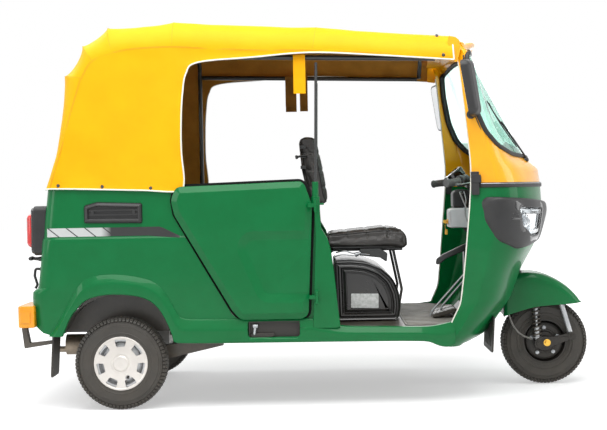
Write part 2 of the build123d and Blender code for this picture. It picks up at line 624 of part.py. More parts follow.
# --- hood -------------------------------------------------------------------------------------

# Middle line of the hood in side view, from the rear axle: up the back and over the crown
CROWN = [(TUB_BACK + 40, BELT), (TUB_BACK + 83, ROOF_TOP - 240), (TUB_BACK + 155, ROOF_TOP - 110),
         (TUB_BACK + 285, ROOF_TOP - 20), (ROOF_HIGH_X, ROOF_TOP)]
OPENING = [(300, BELT - 100), (299, ROOF_TOP - 465), (320, ROOF_TOP - 255), (378, ROOF_TOP - 215),
           (WHEELBASE - 1107, ROOF_TOP - 185), (HOOD_FRONT, ROOF_TOP - 223),
           (HOOD_FRONT + 100, ROOF_TOP - 223), (HOOD_FRONT + 100, BELT - 100)]
WINDOW_HALF = TUB_HALF - 280
WINDOW_Z = (ROOF_TOP - 505, ROOF_TOP - 275)
WINDOW_FIT = 0.5


def roof_at(x):
    """Height of the hood's crown over a station ahead of the rear axle."""
    return ROOF_TOP - ROOF_FALL * (x - ROOF_HIGH_X)


def hood_body(inset):
    """The hood's outer or, with an inset, inner shape, down to the belt or below it."""
    bottom = BELT - inset
    end = HOOD_FRONT + inset
    profile = [(CROWN[0][0] + inset, bottom)] + [(x + inset, z - inset) for x, z in CROWN[1:]]
    profile += [(end, roof_at(HOOD_FRONT) - inset), (end, bottom)]
    half, shoulder = HOOD_HALF - inset, HOOD_HALF - HOOD_LEAN - inset
    # the cross section runs down towards the front with the roof, from behind the back
    start = CROWN[0][0] - 20
    rise = roof_at(start) - ROOF_TOP
    crown_z = ROOF_TOP - inset + rise
    edge_z = crown_z - ROOF_EDGE
    shoulder_z = SHOULDER_Z + rise
    with BuildPart() as body:
        with BuildSketch(rear.side):
            Polygon(*profile, align=None)
        extrude(amount=HOOD_HALF, both=True)
        with BuildSketch(rear.cross.offset(start)):
            with BuildLine():
                Polyline((-half, bottom - 40), (-half, BELT + rise), (-shoulder, shoulder_z))
                ThreePointArc((-shoulder, shoulder_z), (36 - shoulder, edge_z - 50), (-ROOF_EDGE_Y, edge_z))
                ThreePointArc((-ROOF_EDGE_Y, edge_z), (0, crown_z), (ROOF_EDGE_Y, edge_z))
                ThreePointArc((ROOF_EDGE_Y, edge_z), (shoulder - 36, edge_z - 50), (shoulder, shoulder_z))
                Polyline((shoulder, shoulder_z), (half, BELT + rise), (half, bottom - 40),
                         (-half, bottom - 40))
            make_face()
        extrude(amount=HOOD_FRONT + 500, dir=(1, 0, -ROOF_FALL), mode=Mode.INTERSECT)
    return body.part


with BuildPart() as hood:
    add(hood_body(0))
    add(hood_body(HOOD_T), mode=Mode.SUBTRACT)
    with BuildSketch(rear.side):
        Polygon(*OPENING, align=None)
    extrude(amount=TUB_HALF + 60, both=True, mode=Mode.SUBTRACT)
    rear.box((-400, -WINDOW_HALF, WINDOW_Z[0]), (-100, WINDOW_HALF, WINDOW_Z[1]), mode=Mode.SUBTRACT)
save(hood, "hood")

with BuildPart() as rear_window:
    add(hood_body(3))
    add(hood_body(6), mode=Mode.SUBTRACT)
    rear.box((-400, WINDOW_FIT - WINDOW_HALF, WINDOW_Z[0] + WINDOW_FIT),
             (-100, WINDOW_HALF - WINDOW_FIT, WINDOW_Z[1] - WINDOW_FIT), mode=Mode.INTERSECT)
save(rear_window, "rear_window")

# Hoops across the hood: station, height of the feet, height of the top, drop of the shoulders
HOOP_REAR = 274
HOOP_FRONT = HOOD_FRONT - 60
HOOPS = (
    (HOOP_REAR, BELT, roof_at(HOOP_REAR) - 62, 75),
    (HOOP_FRONT, ROOF_TOP - 305, roof_at(HOOP_FRONT) - 62, 75),
    (-175, BELT + 1, ROOF_TOP - 195, 60),
    (-60, BELT + 1, ROOF_TOP - 95, 60),
)
with BuildPart() as hoops:
    for x, foot, top, drop in HOOPS:
        rear.tube([(x, -FRAME_Y, foot), (x, -FRAME_Y, top - drop), (x, 90 - FRAME_Y, top),
                   (x, FRAME_Y - 90, top), (x, FRAME_Y, top - drop), (x, FRAME_Y, foot)], TUBE_R, 40)
save(hoops, "hood_hoops")

RAIL_X = (HOOP_REAR + TUBE_R + 1, HOOP_FRONT - TUBE_R - 1)      # ends of the side rails, from the rear axle
RAIL_Z = (ROOF_TOP - 180, ROOF_TOP - 210)
with BuildPart() as rails:
    for side in (1, -1):
        rear.rod((RAIL_X[0], side * FRAME_Y, RAIL_Z[0]), (RAIL_X[1], side * FRAME_Y, RAIL_Z[1]), TUBE_R)
save(rails, "hood_rails")


def rail_at(ahead):
    """Height of the side rails' middle line at a distance from the front axle."""
    share = (WHEELBASE + ahead - RAIL_X[0]) / (RAIL_X[1] - RAIL_X[0])
    return RAIL_Z[0] + share * (RAIL_Z[1] - RAIL_Z[0])


ROD_X = PILLAR_X + 7
ROD_Y = TUB_HALF - 24
with BuildPart() as pillar_rods:
    for side in (1, -1):
        front.rod((ROD_X, side * ROD_Y, PILLAR_TOP), (ROD_X, side * ROD_Y, PILLAR_TOP + 26), 18)
        front.rod((ROD_X, side * ROD_Y, PILLAR_TOP + 20), (ROD_X, side * FRAME_Y, rail_at(ROD_X)), 9)
    add(rails.part, mode=Mode.SUBTRACT)
save(pillar_rods, "pillar_rods")

STRAPS = ((-1166, -1, 54, 360), (-1228, 1, 56, 370), (-1159, 1, 40, 370))   # station, side, width, drop
STRAP_T = 6
with BuildPart() as straps:
    for x, side, width, drop in STRAPS:
        front.box((x - width / 2, side * FRAME_Y - STRAP_T / 2, ROOF_TOP - drop),
                  (x + width / 2, side * FRAME_Y + STRAP_T / 2, rail_at(x) - STRAP_T))
    add(rails.part, mode=Mode.SUBTRACT)
save(straps, "hood_straps")

# --- steering -----------------------------------------------------------------------------------

LEG_Y = TYRE_W / 2 + 24
LEG_R = 14
LINK_PIVOT = (122, TYRE_R + 29)
with BuildPart() as fork:
    front.rod(steer_point(BRIDGE_UP - 15), steer_point(BAR_UP - CLAMP_H), STEM_R)
    front.rod(steer_point(BRIDGE_UP, -LEG_Y - LEG_R), steer_point(BRIDGE_UP, LEG_Y + LEG_R), 20)
    for side in (1, -1):
        front.tube([steer_point(BRIDGE_UP, side * LEG_Y), (61, side * LEG_Y, TYRE_R + 232),
                    (LINK_PIVOT[0], side * LEG_Y, LINK_PIVOT[1])], LEG_R, 60)
        front.rod((LINK_PIVOT[0], side * (LEG_Y - LEG_R), LINK_PIVOT[1]),
                  (LINK_PIVOT[0], side * (LEG_Y + LEG_R), LINK_PIVOT[1]), 20)
save(fork, "fork")

LINK_Y = (LEG_Y + LEG_R + 1, LEG_Y + LEG_R + 13)    # inner and outer faces of each trailing link
with BuildPart() as links:
    for side in (1, -1):
        front.slab([(144, TYRE_R + 18), (134, TYRE_R + 48), (102, TYRE_R + 50), (0, TYRE_R + 26),
                    (-55, TYRE_R + 8), (-61, TYRE_R - 18), (0, TYRE_R - 30), (122, TYRE_R + 6)],
                   side * LINK_Y[1], side * LINK_Y[0])
    front.rod((0, -LINK_Y[0], TYRE_R), (0, LINK_Y[0], TYRE_R), AXLE_R)
save(links, "trailing_links")

SPRING_Y = LEG_Y + 3
with BuildPart() as springs:
    for side in (1, -1):
        front.rod((-41, side * SPRING_Y, TYRE_R + 8), (-49, side * SPRING_Y, TYRE_R + 194), 11)
        front.rod((-41, side * SPRING_Y, TYRE_R + 42), (-49, side * SPRING_Y, TYRE_R + 194), 21)
        front.rod((-41, side * SPRING_Y, TYRE_R - 3), (-41, side * LINK_Y[0], TYRE_R - 3), 9)
save(springs, "front_springs")

HOSE_R = 4.5
HOSE = [(-147, -70, 270), (-179, -92, 212), (-185, -104, 144), (-163, -108, 82), (-123, -104, 34),
        (-73, -98, 18)]
with BuildPart() as hose:
    front.tube([(x, y, TYRE_R + z) for x, y, z in HOSE], HOSE_R, 40)
save(hose, "brake_hose")

GUARD_HALF = LEG_Y + 52
GUARD_T = 4
# Side views of the mudguard and of its hollow, from the middle of the wheel
GUARD = [(-207, 117), (-200, 222), (-167, 338), (-59, 345), (62, 309), (135, 247), (173, 194), (85, 181),
         (-38, 178), (-185, 128)]
GUARD_HOLLOW = [(-201, 92), (-195, 222), (-163, 334), (-59, 341), (60, 305), (132, 244), (167, 192),
                (167, 92)]
GUARD_FITS = 208        # the tyre radius that the two outlines are drawn for
with BuildPart() as mudguard:
    for outline, inset, mode in ((GUARD, 0, Mode.ADD), (GUARD_HOLLOW, GUARD_T, Mode.SUBTRACT)):
        grown = [(x * TYRE_R / GUARD_FITS, TYRE_R + z * TYRE_R / GUARD_FITS) for x, z in outline]
        front.slab(grown, GUARD_HALF - inset, inset - GUARD_HALF, mode=mode)
    front.rod(steer_point(BRIDGE_UP - 35), steer_point(BRIDGE_UP + 125), 30, mode=Mode.SUBTRACT)
save(mudguard, "front_mudguard")

BAR_R = 11
BAR_BEND = (-425, 250, BELT + 18)
BAR_END = (-533, 340, BELT)
GRIP_END = tuple(end + 0.76 * (end - bend) for end, bend in zip(BAR_END, BAR_BEND))
GRIP_R = 17


def mirrored(point, side):
    """The point, or with a side of -1 the one opposite it."""
    return (point[0], side * point[1], point[2])


with BuildPart() as handlebar:
    front.tube([mirrored(BAR_END, -1), mirrored(BAR_BEND, -1), steer_point(BAR_UP, -60),
                steer_point(BAR_UP, 60), BAR_BEND, BAR_END], BAR_R, 50)
    front.rod(steer_point(BAR_UP - CLAMP_H), steer_point(BAR_UP + CLAMP_H), 22)
save(handlebar, "handlebar")

with BuildPart() as grips:
    for side in (1, -1):
        front.rod(mirrored(BAR_END, side), mirrored(GRIP_END, side), GRIP_R)
save(grips, "handlebar_grips")

with BuildPart() as binnacle:
    with BuildSketch(Plane(origin=front.at(steer_point(BAR_UP + CLAMP_H)), x_dir=(0, 1, 0),
                           z_dir=(-sin(rake), 0, cos(rake)))):
        RectangleRounded(124, 110, 30)
    extrude(amount=42)
save(binnacle, "instrument_binnacle")

# --- wheels -------------------------------------------------------------------------------------

BEAD_HALF = 38
HUB_R = 44
DISC_HALF = 26          # half thickness of the rim's disc
LIP = 8                 # depth of the rim's well under the bead
SPIN = (0, 1, 0)


def ring(datum, y, profile):
    """Turn an outline of (across, distance from the axle) about a wheel's axle."""
    with BuildSketch(datum.cross) as face:
        Polygon(*[(y + across, TYRE_R + out) for across, out in profile], align=None)
    revolve(face.sketch, axis=Axis(datum.at((0, 0, TYRE_R)), SPIN))


def both_ways(profile):
    """Close a half outline with its own mirror image across the wheel's middle plane."""
    return profile + [(-across, out) for across, out in reversed(profile) if across]


def tyre_and_rim(datum, y, hub_half, name):
    """Save a tyre, and the rim with its hub, for a wheel whose middle plane is at y."""
    half = TYRE_W / 2
    with BuildPart() as tyre:
        ring(datum, y, both_ways([(0, TYRE_R), (34, TYRE_R - 4), (half, TYRE_R - 30), (half, RIM_R + 34),
                                  (BEAD_HALF, RIM_R)]))
    save(tyre, f"{name}_tyre")
    with BuildPart() as rim:
        ring(datum, y, both_ways([(BEAD_HALF, RIM_R), (BEAD_HALF, RIM_R - 4), (BEAD_HALF - LIP, RIM_R - LIP),
                                  (DISC_HALF, HUB_R + 16), (hub_half, HUB_R), (hub_half, AXLE_R + RUN)]))
    save(rim, f"{name}_rim")


CAP_T = 9
SLOTS = 7
tyre_and_rim(front, 0, 56, "front")
for name, side in (("right", 1), ("left", -1)):
    tyre_and_rim(rear, -side * TRACK / 2, 40, f"rear_{name}")
    with BuildPart() as hubcap:
        with BuildSketch(rear.side.offset(side * (TRACK / 2 + TYRE_W / 2))):
            with Locations((0, TYRE_R)):
                Circle(RIM_R + 8)
                with PolarLocations(RIM_R - 32, SLOTS, start_angle=90):
                    SlotOverall(34, 20, rotation=90, mode=Mode.SUBTRACT)
        extrude(amount=-side * CAP_T)
    save(hubcap, f"hubcap_{name}")
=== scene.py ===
import math

import bmesh
import bpy
from mathutils import Matrix, Vector, noise


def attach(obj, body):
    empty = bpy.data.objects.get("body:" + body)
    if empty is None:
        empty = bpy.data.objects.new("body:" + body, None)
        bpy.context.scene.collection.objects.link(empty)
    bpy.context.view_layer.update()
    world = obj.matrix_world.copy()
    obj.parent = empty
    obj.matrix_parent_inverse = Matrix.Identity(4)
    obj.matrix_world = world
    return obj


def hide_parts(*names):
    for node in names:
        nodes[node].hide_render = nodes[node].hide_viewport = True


# Auto rickshaw.  Metres in the scene, but sizes are written in millimetres, measured from the
# floor under the rear axle: x forward, y to the vehicle's left, z up.
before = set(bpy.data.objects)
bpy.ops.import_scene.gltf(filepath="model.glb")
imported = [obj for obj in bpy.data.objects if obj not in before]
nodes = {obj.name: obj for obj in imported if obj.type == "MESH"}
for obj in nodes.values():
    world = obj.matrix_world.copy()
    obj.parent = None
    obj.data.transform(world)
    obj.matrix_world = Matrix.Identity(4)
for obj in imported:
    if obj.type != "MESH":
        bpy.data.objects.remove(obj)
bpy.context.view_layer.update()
scene = bpy.context.scene
scene.view_settings.view_transform = "Standard"

# ---------------------------------------------------------------------------------------------
# Studio.  A pale floor, a broad soft lamp overhead and softer ones at the sides.  The floor
# shows white to the camera, in polished surfaces and through glass, and keeps the shadow.


def colour(code, alpha=1.0):
    """A colour written in sRGB hex, as the linear one that shaders take."""
    parts = [int(code[i : i + 2], 16) / 255 for i in (1, 3, 5)]
    linear = [p / 12.92 if p <= 0.04045 else ((p + 0.055) / 1.055) ** 2.4 for p in parts]
    return (*linear, alpha)


def node(tree, kind, settings=None, **values):
    """Add a node.  Settings are its own properties; values are its inputs, by name, each one a
    plain value or another node's output."""
    made = tree.nodes.new(kind)
    for key, value in (settings or {}).items():
        setattr(made, key, value)
    for key, value in values.items():
        name = key.replace("_", " ")
        if key[0] == "i" and key[1:].isdigit():
            socket = made.inputs[int(key[1:])]
        else:
            socket = made.inputs.get(name) or made.inputs[name.title()]
        if isinstance(value, bpy.types.NodeSocket):
            tree.links.new(value, socket)
        else:
            socket.default_value = value
    return made


def blank_material(name):
    """A material with nothing in it yet, and its node tree."""
    material = bpy.data.materials.new(name)
    material.use_nodes = True
    material.node_tree.nodes.clear()
    return material, material.node_tree


def looked_at(tree):
    """1 for what the camera sees, directly, through glass or in a polished surface, and else 0."""
    rays = node(tree, "ShaderNodeLightPath")
    seen = node(tree, "ShaderNodeMath", {"operation": "MAXIMUM"}, i0=rays.outputs["Is Camera Ray"],
                i1=rays.outputs["Is Transmission Ray"])
    return node(tree, "ShaderNodeMath", {"operation": "MAXIMUM"}, i0=seen.outputs[0],
                i1=rays.outputs["Is Glossy Ray"]).outputs[0]


def finish(tree, **values):
    """A shader with these inputs, as what the material shows."""
    shader = node(tree, "ShaderNodeBsdfPrincipled", **values)
    node(tree, "ShaderNodeOutputMaterial", Surface=shader.outputs[0])


FLOOR_HALF = 30.0
floor_mesh = bpy.data.meshes.new("studio_floor")
corners = [(x * FLOOR_HALF, y * FLOOR_HALF, 0) for x, y in ((-1, -1), (1, -1), (1, 1), (-1, 1))]
floor_mesh.from_pydata(corners, [], [(0, 1, 2, 3)])
floor = bpy.data.objects.new("studio_floor", floor_mesh)
scene.collection.objects.link(floor)
floor_paper, tree = blank_material("white_paper_sweep")
seen = looked_at(tree)
ground = node(tree, "ShaderNodeTexCoord").outputs["Object"]
far = node(tree, "ShaderNodeVectorMath", {"operation": "LENGTH"}, i0=ground)
fade = node(tree, "ShaderNodeMapRange", i0=far.outputs["Value"], i1=1.6, i2=4.5, i3=0.42, i4=0.97)
glow = node(tree, "ShaderNodeMath", {"operation": "MULTIPLY"}, i0=seen, i1=fade.outputs[0])
finish(tree, Base_Color=colour("#E6E6E6"), Roughness=0.9, Emission_Strength=glow.outputs[0],
       Emission_Color=(1, 1, 1, 1))
floor_mesh.materials.append(floor_paper)

world = bpy.data.worlds.new("studio")
scene.world = world
world.use_nodes = True
tree = world.node_tree
tree.nodes.clear()
seen = looked_at(tree)
sky = node(tree, "ShaderNodeBackground", Color=(0.95, 0.97, 1.0, 1), Strength=0.26)
white = node(tree, "ShaderNodeBackground", Color=(1, 1, 1, 1), Strength=1.0)
mix = node(tree, "ShaderNodeMixShader", i0=seen, i1=sky.outputs[0], i2=white.outputs[0])
node(tree, "ShaderNodeOutputWorld", Surface=mix.outputs[0])

for name, place, aim, width, height, watts in (
    ("lamp_overhead", (0.1, -1.8, 4.2), (0, 0, 0.6), 4.6, 3.4, 210),
    ("lamp_camera_side", (-0.6, -6.6, 3.0), (0, 0, 0.8), 5.0, 3.0, 60),
    ("lamp_front", (5.2, -1.2, 2.2), (0.6, 0, 0.9), 2.2, 2.8, 50),
    ("lamp_rear", (-5.0, -2.4, 2.2), (-0.8, 0, 0.9), 1.6, 2.8, 50),
    ("lamp_over_rear", (-3.3, 1.0, 4.3), (-0.4, 0, 0.6), 3.2, 2.6, 80),
    ("lamp_far_side", (0.5, 5.4, 2.8), (0, 0, 0.9), 4.0, 3.0, 56),
):
    light = bpy.data.lights.new(name, "AREA")
    light.shape = "RECTANGLE"
    light.size, light.size_y, light.energy = width, height, watts
    lamp = bpy.data.objects.new(name, light)
    scene.collection.objects.link(lamp)
    lamp.location = place
    lamp.rotation_euler = (Vector(aim) - Vector(place)).to_track_quat("-Z", "Y").to_euler()
    # the lamp beside the camera lights the panels without showing in them
    lamp.visible_glossy = name != "lamp_camera_side"

# The camera stands to the vehicle's right, 6.4 m from its middle line.
CAMERA_PLACE = (0.0329, -6.4189, 0.9585)
CAMERA_YAW, CAMERA_DIP, CAMERA_ROLL = -0.0128, 0.01778, 0.01899
camera_data = bpy.data.cameras.new("camera")
camera_data.sensor_width = 36
camera_data.lens = 77.45
camera = bpy.data.objects.new("camera", camera_data)
scene.collection.objects.link(camera)
scene.camera = camera
aim = Vector((math.sin(CAMERA_YAW) * math.cos(CAMERA_DIP), math.cos(CAMERA_YAW) * math.cos(CAMERA_DIP),
              -math.sin(CAMERA_DIP)))
level = Vector((math.cos(CAMERA_YAW), -math.sin(CAMERA_YAW), 0))
above = level.cross(aim)
right = math.cos(CAMERA_ROLL) * level - math.sin(CAMERA_ROLL) * above
up = math.sin(CAMERA_ROLL) * level + math.cos(CAMERA_ROLL) * above
camera.matrix_world = Matrix.Translation(CAMERA_PLACE) @ Matrix((right, up, -aim)).transposed().to_4x4()

# ---------------------------------------------------------------------------------------------
# Tub.  Pressed steel sheet in one U around the passengers' bench, with an arch cut over each
# rear wheel, painted in gloss green enamel over primer.  The paint is smooth to the eye but has
# a faint orange peel, and the large flat panels wave a little.
REAR_AXLE = -868
FRONT_AXLE = 1985       # from the rear axle
TYRE_R = 208


def spot(x, y, z):
    """A point of the scene, from millimetres ahead of, left of and above the rear axle's floor point."""
    return Vector(((x + REAR_AXLE) / 1000, y / 1000, z / 1000))


def sideways(x, z, y):
    """Where a point of a side view goes, for a shape that grows across the vehicle."""
    return spot(x, y, z)


def lengthways(y, z, x):
    """Where a point of a front view goes, for a shape that grows along the vehicle."""
    return spot(x, y, z)


def box(u0, v0, u1, v1):
    """The corners of an upright rectangle."""
    return [(u0, v0), (u1, v0), (u1, v1), (u0, v1)]


def surface(name, code, shade, rough, metal=0.0, coat=0.0, coat_rough=0.04, patch=120, grain=3.0, depth=0.1,
            spread=0.05, sheen=0.0, wave=0.0, dirt=None, specular=0.5):
    """A material whose colour drifts between two shades in soft patches.  Its grain, a pattern of
    so many millimetres, stands out by a share of the grain's size."""
    material, tree = blank_material(name)
    place = node(tree, "ShaderNodeTexCoord").outputs["Object"]
    drift = node(tree, "ShaderNodeTexNoise", Vector=place, Scale=1000 / patch, Detail=4.0, Roughness=0.6)
    tone = node(tree, "ShaderNodeMapRange", i0=drift.outputs["Fac"], i1=0.35, i2=0.65)
    mix = node(tree, "ShaderNodeMix", {"data_type": "RGBA"}, i0=tone.outputs[0], i6=colour(code),
               i7=colour(shade))
    hue = mix.outputs[2]
    fine = node(tree, "ShaderNodeTexNoise", Vector=place, Scale=1000 / grain, Detail=2.0)
    if dirt:
        # road dust, thickest close to the floor
        height = node(tree, "ShaderNodeSeparateXYZ", Vector=place).outputs["Z"]
        low = node(tree, "ShaderNodeMapRange", i0=height, i1=0.62, i2=0.2, i3=0.0, i4=dirt)
        cloud = node(tree, "ShaderNodeTexNoise", Vector=place, Scale=14.0, Detail=6.0, Roughness=0.7)
        amount = node(tree, "ShaderNodeMath", {"operation": "MULTIPLY"}, i0=low.outputs[0],
                      i1=cloud.outputs["Fac"])
        mix = node(tree, "ShaderNodeMix", {"data_type": "RGBA"}, i0=amount.outputs[0], i6=hue,
                   i7=colour("#A8967D"))
        hue = mix.outputs[2]
    bump = node(tree, "ShaderNodeBump", Strength=1.0, Distance=grain * depth / 1000,
                Height=fine.outputs["Fac"])
    if wave:
        broad = node(tree, "ShaderNodeTexNoise", Vector=place, Scale=5.0, Detail=1.0)
        bump = node(tree, "ShaderNodeBump", Strength=1.0, Distance=wave / 1000, Height=broad.outputs["Fac"],
                    Normal=bump.outputs[0])
    gloss = node(tree, "ShaderNodeMapRange", i0=drift.outputs["Fac"], i1=0.3, i2=0.7, i3=rough - spread,
                 i4=rough + spread)
    finish(tree, Base_Color=hue, Metallic=metal, Roughness=gloss.outputs[0], Coat_Weight=coat,
           Coat_Roughness=coat_rough, Sheen_Weight=sheen, Specular_IOR_Level=specular,
           Normal=bump.outputs[0])
    return material


def both_ways(steps):
    """Steps across the vehicle, from its right side to its left, out of those for one side."""
    return [(inset, -y) for inset, y in steps] + [(inset, y) for inset, y in steps[::-1]]


def outline(points, radii, inset=0.0, arc=6):
    """A closed outline of straight runs and rounded corners, moved inwards by the inset.  Every
    corner gives the same number of points, whatever its radius."""
    count = len(points)
    if not hasattr(radii, "__len__"):
        radii = [radii] * count
    area = sum(points[i - 1][0] * points[i][1] - points[i][0] * points[i - 1][1] for i in range(count))
    turn = 1 if area > 0 else -1
    places = [Vector(p) for p in points]
    found = []
    for i in range(count):
        before, here, after = places[i - 1], places[i], places[(i + 1) % count]
        back, on = (here - before).normalized(), (after - here).normalized()
        left = [Vector((-d.y, d.x)) * turn for d in (back, on)]
        bend = back.x * on.y - back.y * on.x
        share = inset / max(0.2, 1 + left[0].dot(left[1]))
        corner = here + (left[0] + left[1]) * share
        radius = max(0.5, radii[i] - inset if bend * turn > 0 else radii[i] + inset)
        angle = math.acos(max(-1, min(1, back.dot(on))))
        reach = radius * math.tan(angle / 2)
        limit = 0.49 * min((here - before).length, (after - here).length)
        if reach > limit:
            reach, radius = limit, limit / max(1e-6, math.tan(angle / 2))
        start = corner - back * reach
        side = Vector((-back.y, back.x)) * (1 if bend > 0 else -1)
        centre = start + side * radius
        for k in range(arc + 1):
            swing = angle * k / arc * (1 if bend > 0 else -1)
            arm = start - centre
            c, s = math.cos(swing), math.sin(swing)
            found.append((centre.x + arm.x * c - arm.y * s, centre.y + arm.x * s + arm.y * c))
    return found


def settle(made, angle, flat_faces=True):
    """Shade a piece smooth but for its sharp edges, and keep its flat faces looking flat."""
    made.data.shade_smooth()
    made.data.set_sharp_from_angle(angle=math.radians(angle))
    if flat_faces:
        normals = made.modifiers.new("normals", "WEIGHTED_NORMAL")
        normals.keep_sharp, normals.weight = True, 60
        apply_all(made)


def as_mesh(name, shape):
    """Turn a shape into a mesh, with its faces turned outwards."""
    bmesh.ops.recalc_face_normals(shape, faces=shape.faces)
    mesh = bpy.data.meshes.new(name)
    shape.to_mesh(mesh)
    shape.free()
    return mesh


def piece(name, shape, material, body, replaces=(), smooth=35, flat_faces=True):
    """Put a finished mesh in the scene.  It rides on a body, takes the finishes it is given and may
    stand for CAD nodes.  Edges sharper than the angle stay sharp."""
    if isinstance(shape, bmesh.types.BMesh):
        bmesh.ops.remove_doubles(shape, verts=shape.verts, dist=2e-6)
        mesh = as_mesh(name, shape)
    else:
        mesh = shape
        mesh.name = name
    made = bpy.data.objects.new(name, mesh)
    scene.collection.objects.link(made)
    for one in material if isinstance(material, (list, tuple)) else [material]:
        mesh.materials.append(one)
    settle(made, smooth, flat_faces)
    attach(made, body)
    if replaces:
        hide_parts(*replaces)
    return made


def apply_all(made):
    """Turn a piece's modifiers into its mesh."""
    bpy.context.view_layer.update()
    graph = bpy.context.evaluated_depsgraph_get()
    mesh = bpy.data.meshes.new_from_object(made.evaluated_get(graph))
    made.modifiers.clear()
    made.data = mesh
    return made


def skin(shape, rows, closed=True, ends=False):
    """Faces between rows of points; each row is closed on itself or open.  The ends may be closed
    by a flat face each."""
    ranks = [[shape.verts.new(p) for p in row] for row in rows]
    for low, high in zip(ranks, ranks[1:]):
        count = len(low)
        for i in range(count if closed else count - 1):
            j = (i + 1) % count
            shape.faces.new((low[i], low[j], high[j], high[i]))
    if ends:
        shape.faces.new(ranks[0])
        shape.faces.new(ranks[-1])
    return ranks


def thin_shell(rows):
    """A thin shell from open rows: down its outside, back up its inside, and closed all round."""
    shape = bmesh.new()
    skin(shape, [*rows, rows[0]], closed=False)
    bmesh.ops.remove_doubles(shape, verts=shape.verts, dist=1e-6)
    bmesh.ops.holes_fill(shape, edges=shape.edges, sides=0)
    return shape


def tiers(points, radii, steps, arc=6):
    """Levels for a stack: one outline at several (inset, height) steps."""
    return [(outline(points, radii, inset, arc), h) for inset, h in steps]


def stack(levels, place, rings=(0, 0)):
    """A closed body from flat outlines, each with a height, put where a function says.  Each end
    is closed by one flat face, or towards its middle in so many rings to follow a curve."""
    rows = [[(u, v, h) for u, v in points] for points, h in levels]
    for end, count in zip((0, -1), rings):
        if not count:
            continue
        edge = rows[end]
        mid = [sum(p[i] for p in edge) / len(edge) for i in range(3)]
        closing = [[tuple(a + (m - a) * k / count for a, m in zip(p, mid)) for p in edge]
                   for k in range(1, count + 1)]
        rows = closing[::-1] + rows if end == 0 else rows + closing
    shape = bmesh.new()
    ranks = skin(shape, [[place(*p) for p in row] for row in rows])
    for end, count in zip((0, -1), rings):
        if not count:
            shape.faces.new(ranks[end])
    bmesh.ops.remove_doubles(shape, verts=shape.verts, dist=1e-6)
    return shape


def cut(made, *tools, operation="DIFFERENCE", solver="EXACT"):
    """Cut closed shapes out of a piece, or keep what is inside them."""
    for tool in tools:
        bmesh.ops.triangulate(tool, faces=tool.faces)
        bmesh.ops.recalc_face_normals(tool, faces=tool.faces)
        mesh = bpy.data.meshes.new("tool")
        tool.to_mesh(mesh)
        tool.free()
        cutter = bpy.data.objects.new("tool", mesh)
        scene.collection.objects.link(cutter)
        knife = made.modifiers.new("cut", "BOOLEAN")
        knife.object, knife.operation, knife.solver = cutter, operation, solver
        apply_all(made)
        bpy.data.objects.remove(cutter)
    return made


def straight(points, near, far, place):
    """A closed body with the same outline from one end to the other."""
    return stack([(points, near), (points, far)], place)


def prism(points):
    """A side-view outline swept right across the vehicle and out of both its sides."""
    past_both_sides = 700
    return straight(points, -past_both_sides, past_both_sides, sideways)


def blend_rows(table, at):
    """Read a table of (place, values...) at any place, in a straight line between its rows."""
    rows = sorted(table)
    if at <= rows[0][0]:
        return rows[0][1:]
    for low, high in zip(rows, rows[1:]):
        if at <= high[0]:
            t = (at - low[0]) / (high[0] - low[0])
            return tuple(a + (b - a) * t for a, b in zip(low[1:], high[1:]))
    return rows[-1][1:]


green_enamel = surface("green_enamel_on_pressed_steel", "#006D38", "#006834", 0.36, coat=0.25, grain=2.5,
                       depth=0.004, wave=0.25, spread=0.03, dirt=0.02, specular=0.12)
black_enamel = surface("black_chassis_enamel", "#1B1C1C", "#262727", 0.42, coat=0.25, coat_rough=0.2,
                       grain=2.0, depth=0.03, dirt=0.35)

# height, half width, back, corner radius: the back leans out on its way down, and a ledge for
# the stripe and a step over the bumper run all the way round
TUB_SHAPE = ((285, 614, -378, 66), (335, 618, -388, 68), (420, 622, -397, 70), (505, 624, -400, 70),
             (530, 624.5, -398, 70), (541, 624.8, -386, 68), (549, 625, -372, 66), (620, 626, -363, 66),
             (757, 627, -349, 68), (766, 626, -347, 68), (775, 621, -342, 66), (845, 620, -337, 66),
             (940, 617, -327, 66), (1000, 614, -321, 66))
TUB_FRONT = 640
SHEET_T = 3


def tub_ring(z, grow=0.0):
    """The tub's plan at a height: a U of points, open at its front."""
    half, back, radius = blend_rows(TUB_SHAPE, z)
    half, back, radius = half + grow, back - grow, radius + grow
    points = [(TUB_FRONT - k * (TUB_FRONT - back - radius) / 60, -half) for k in range(60)]
    for k in range(11):
        a = math.radians(270 - 9 * k)
        points.append((back + radius + radius * math.cos(a), radius - half + radius * math.sin(a)))
    points += [(back, (k / 20 - 0.5) * 2 * (half - radius)) for k in range(1, 20)]
    points += [(x, -y) for x, y in points[:71][::-1]]
    return points


heights = {row[0] for row in TUB_SHAPE} | set(range(300, 1000, 22)) | {534, 545, 551, 764, 772, 781, 1000}
heights = sorted(heights)
rows = [[spot(x, y, z) for x, y in tub_ring(z)] for z in heights]
rows += [[spot(x, y, z) for x, y in tub_ring(z, -SHEET_T)] for z in heights[::-1]]
tub = piece("tub_sheet", thin_shell(rows), green_enamel, "body",
            ("rear_quarters", "rear_panel"))

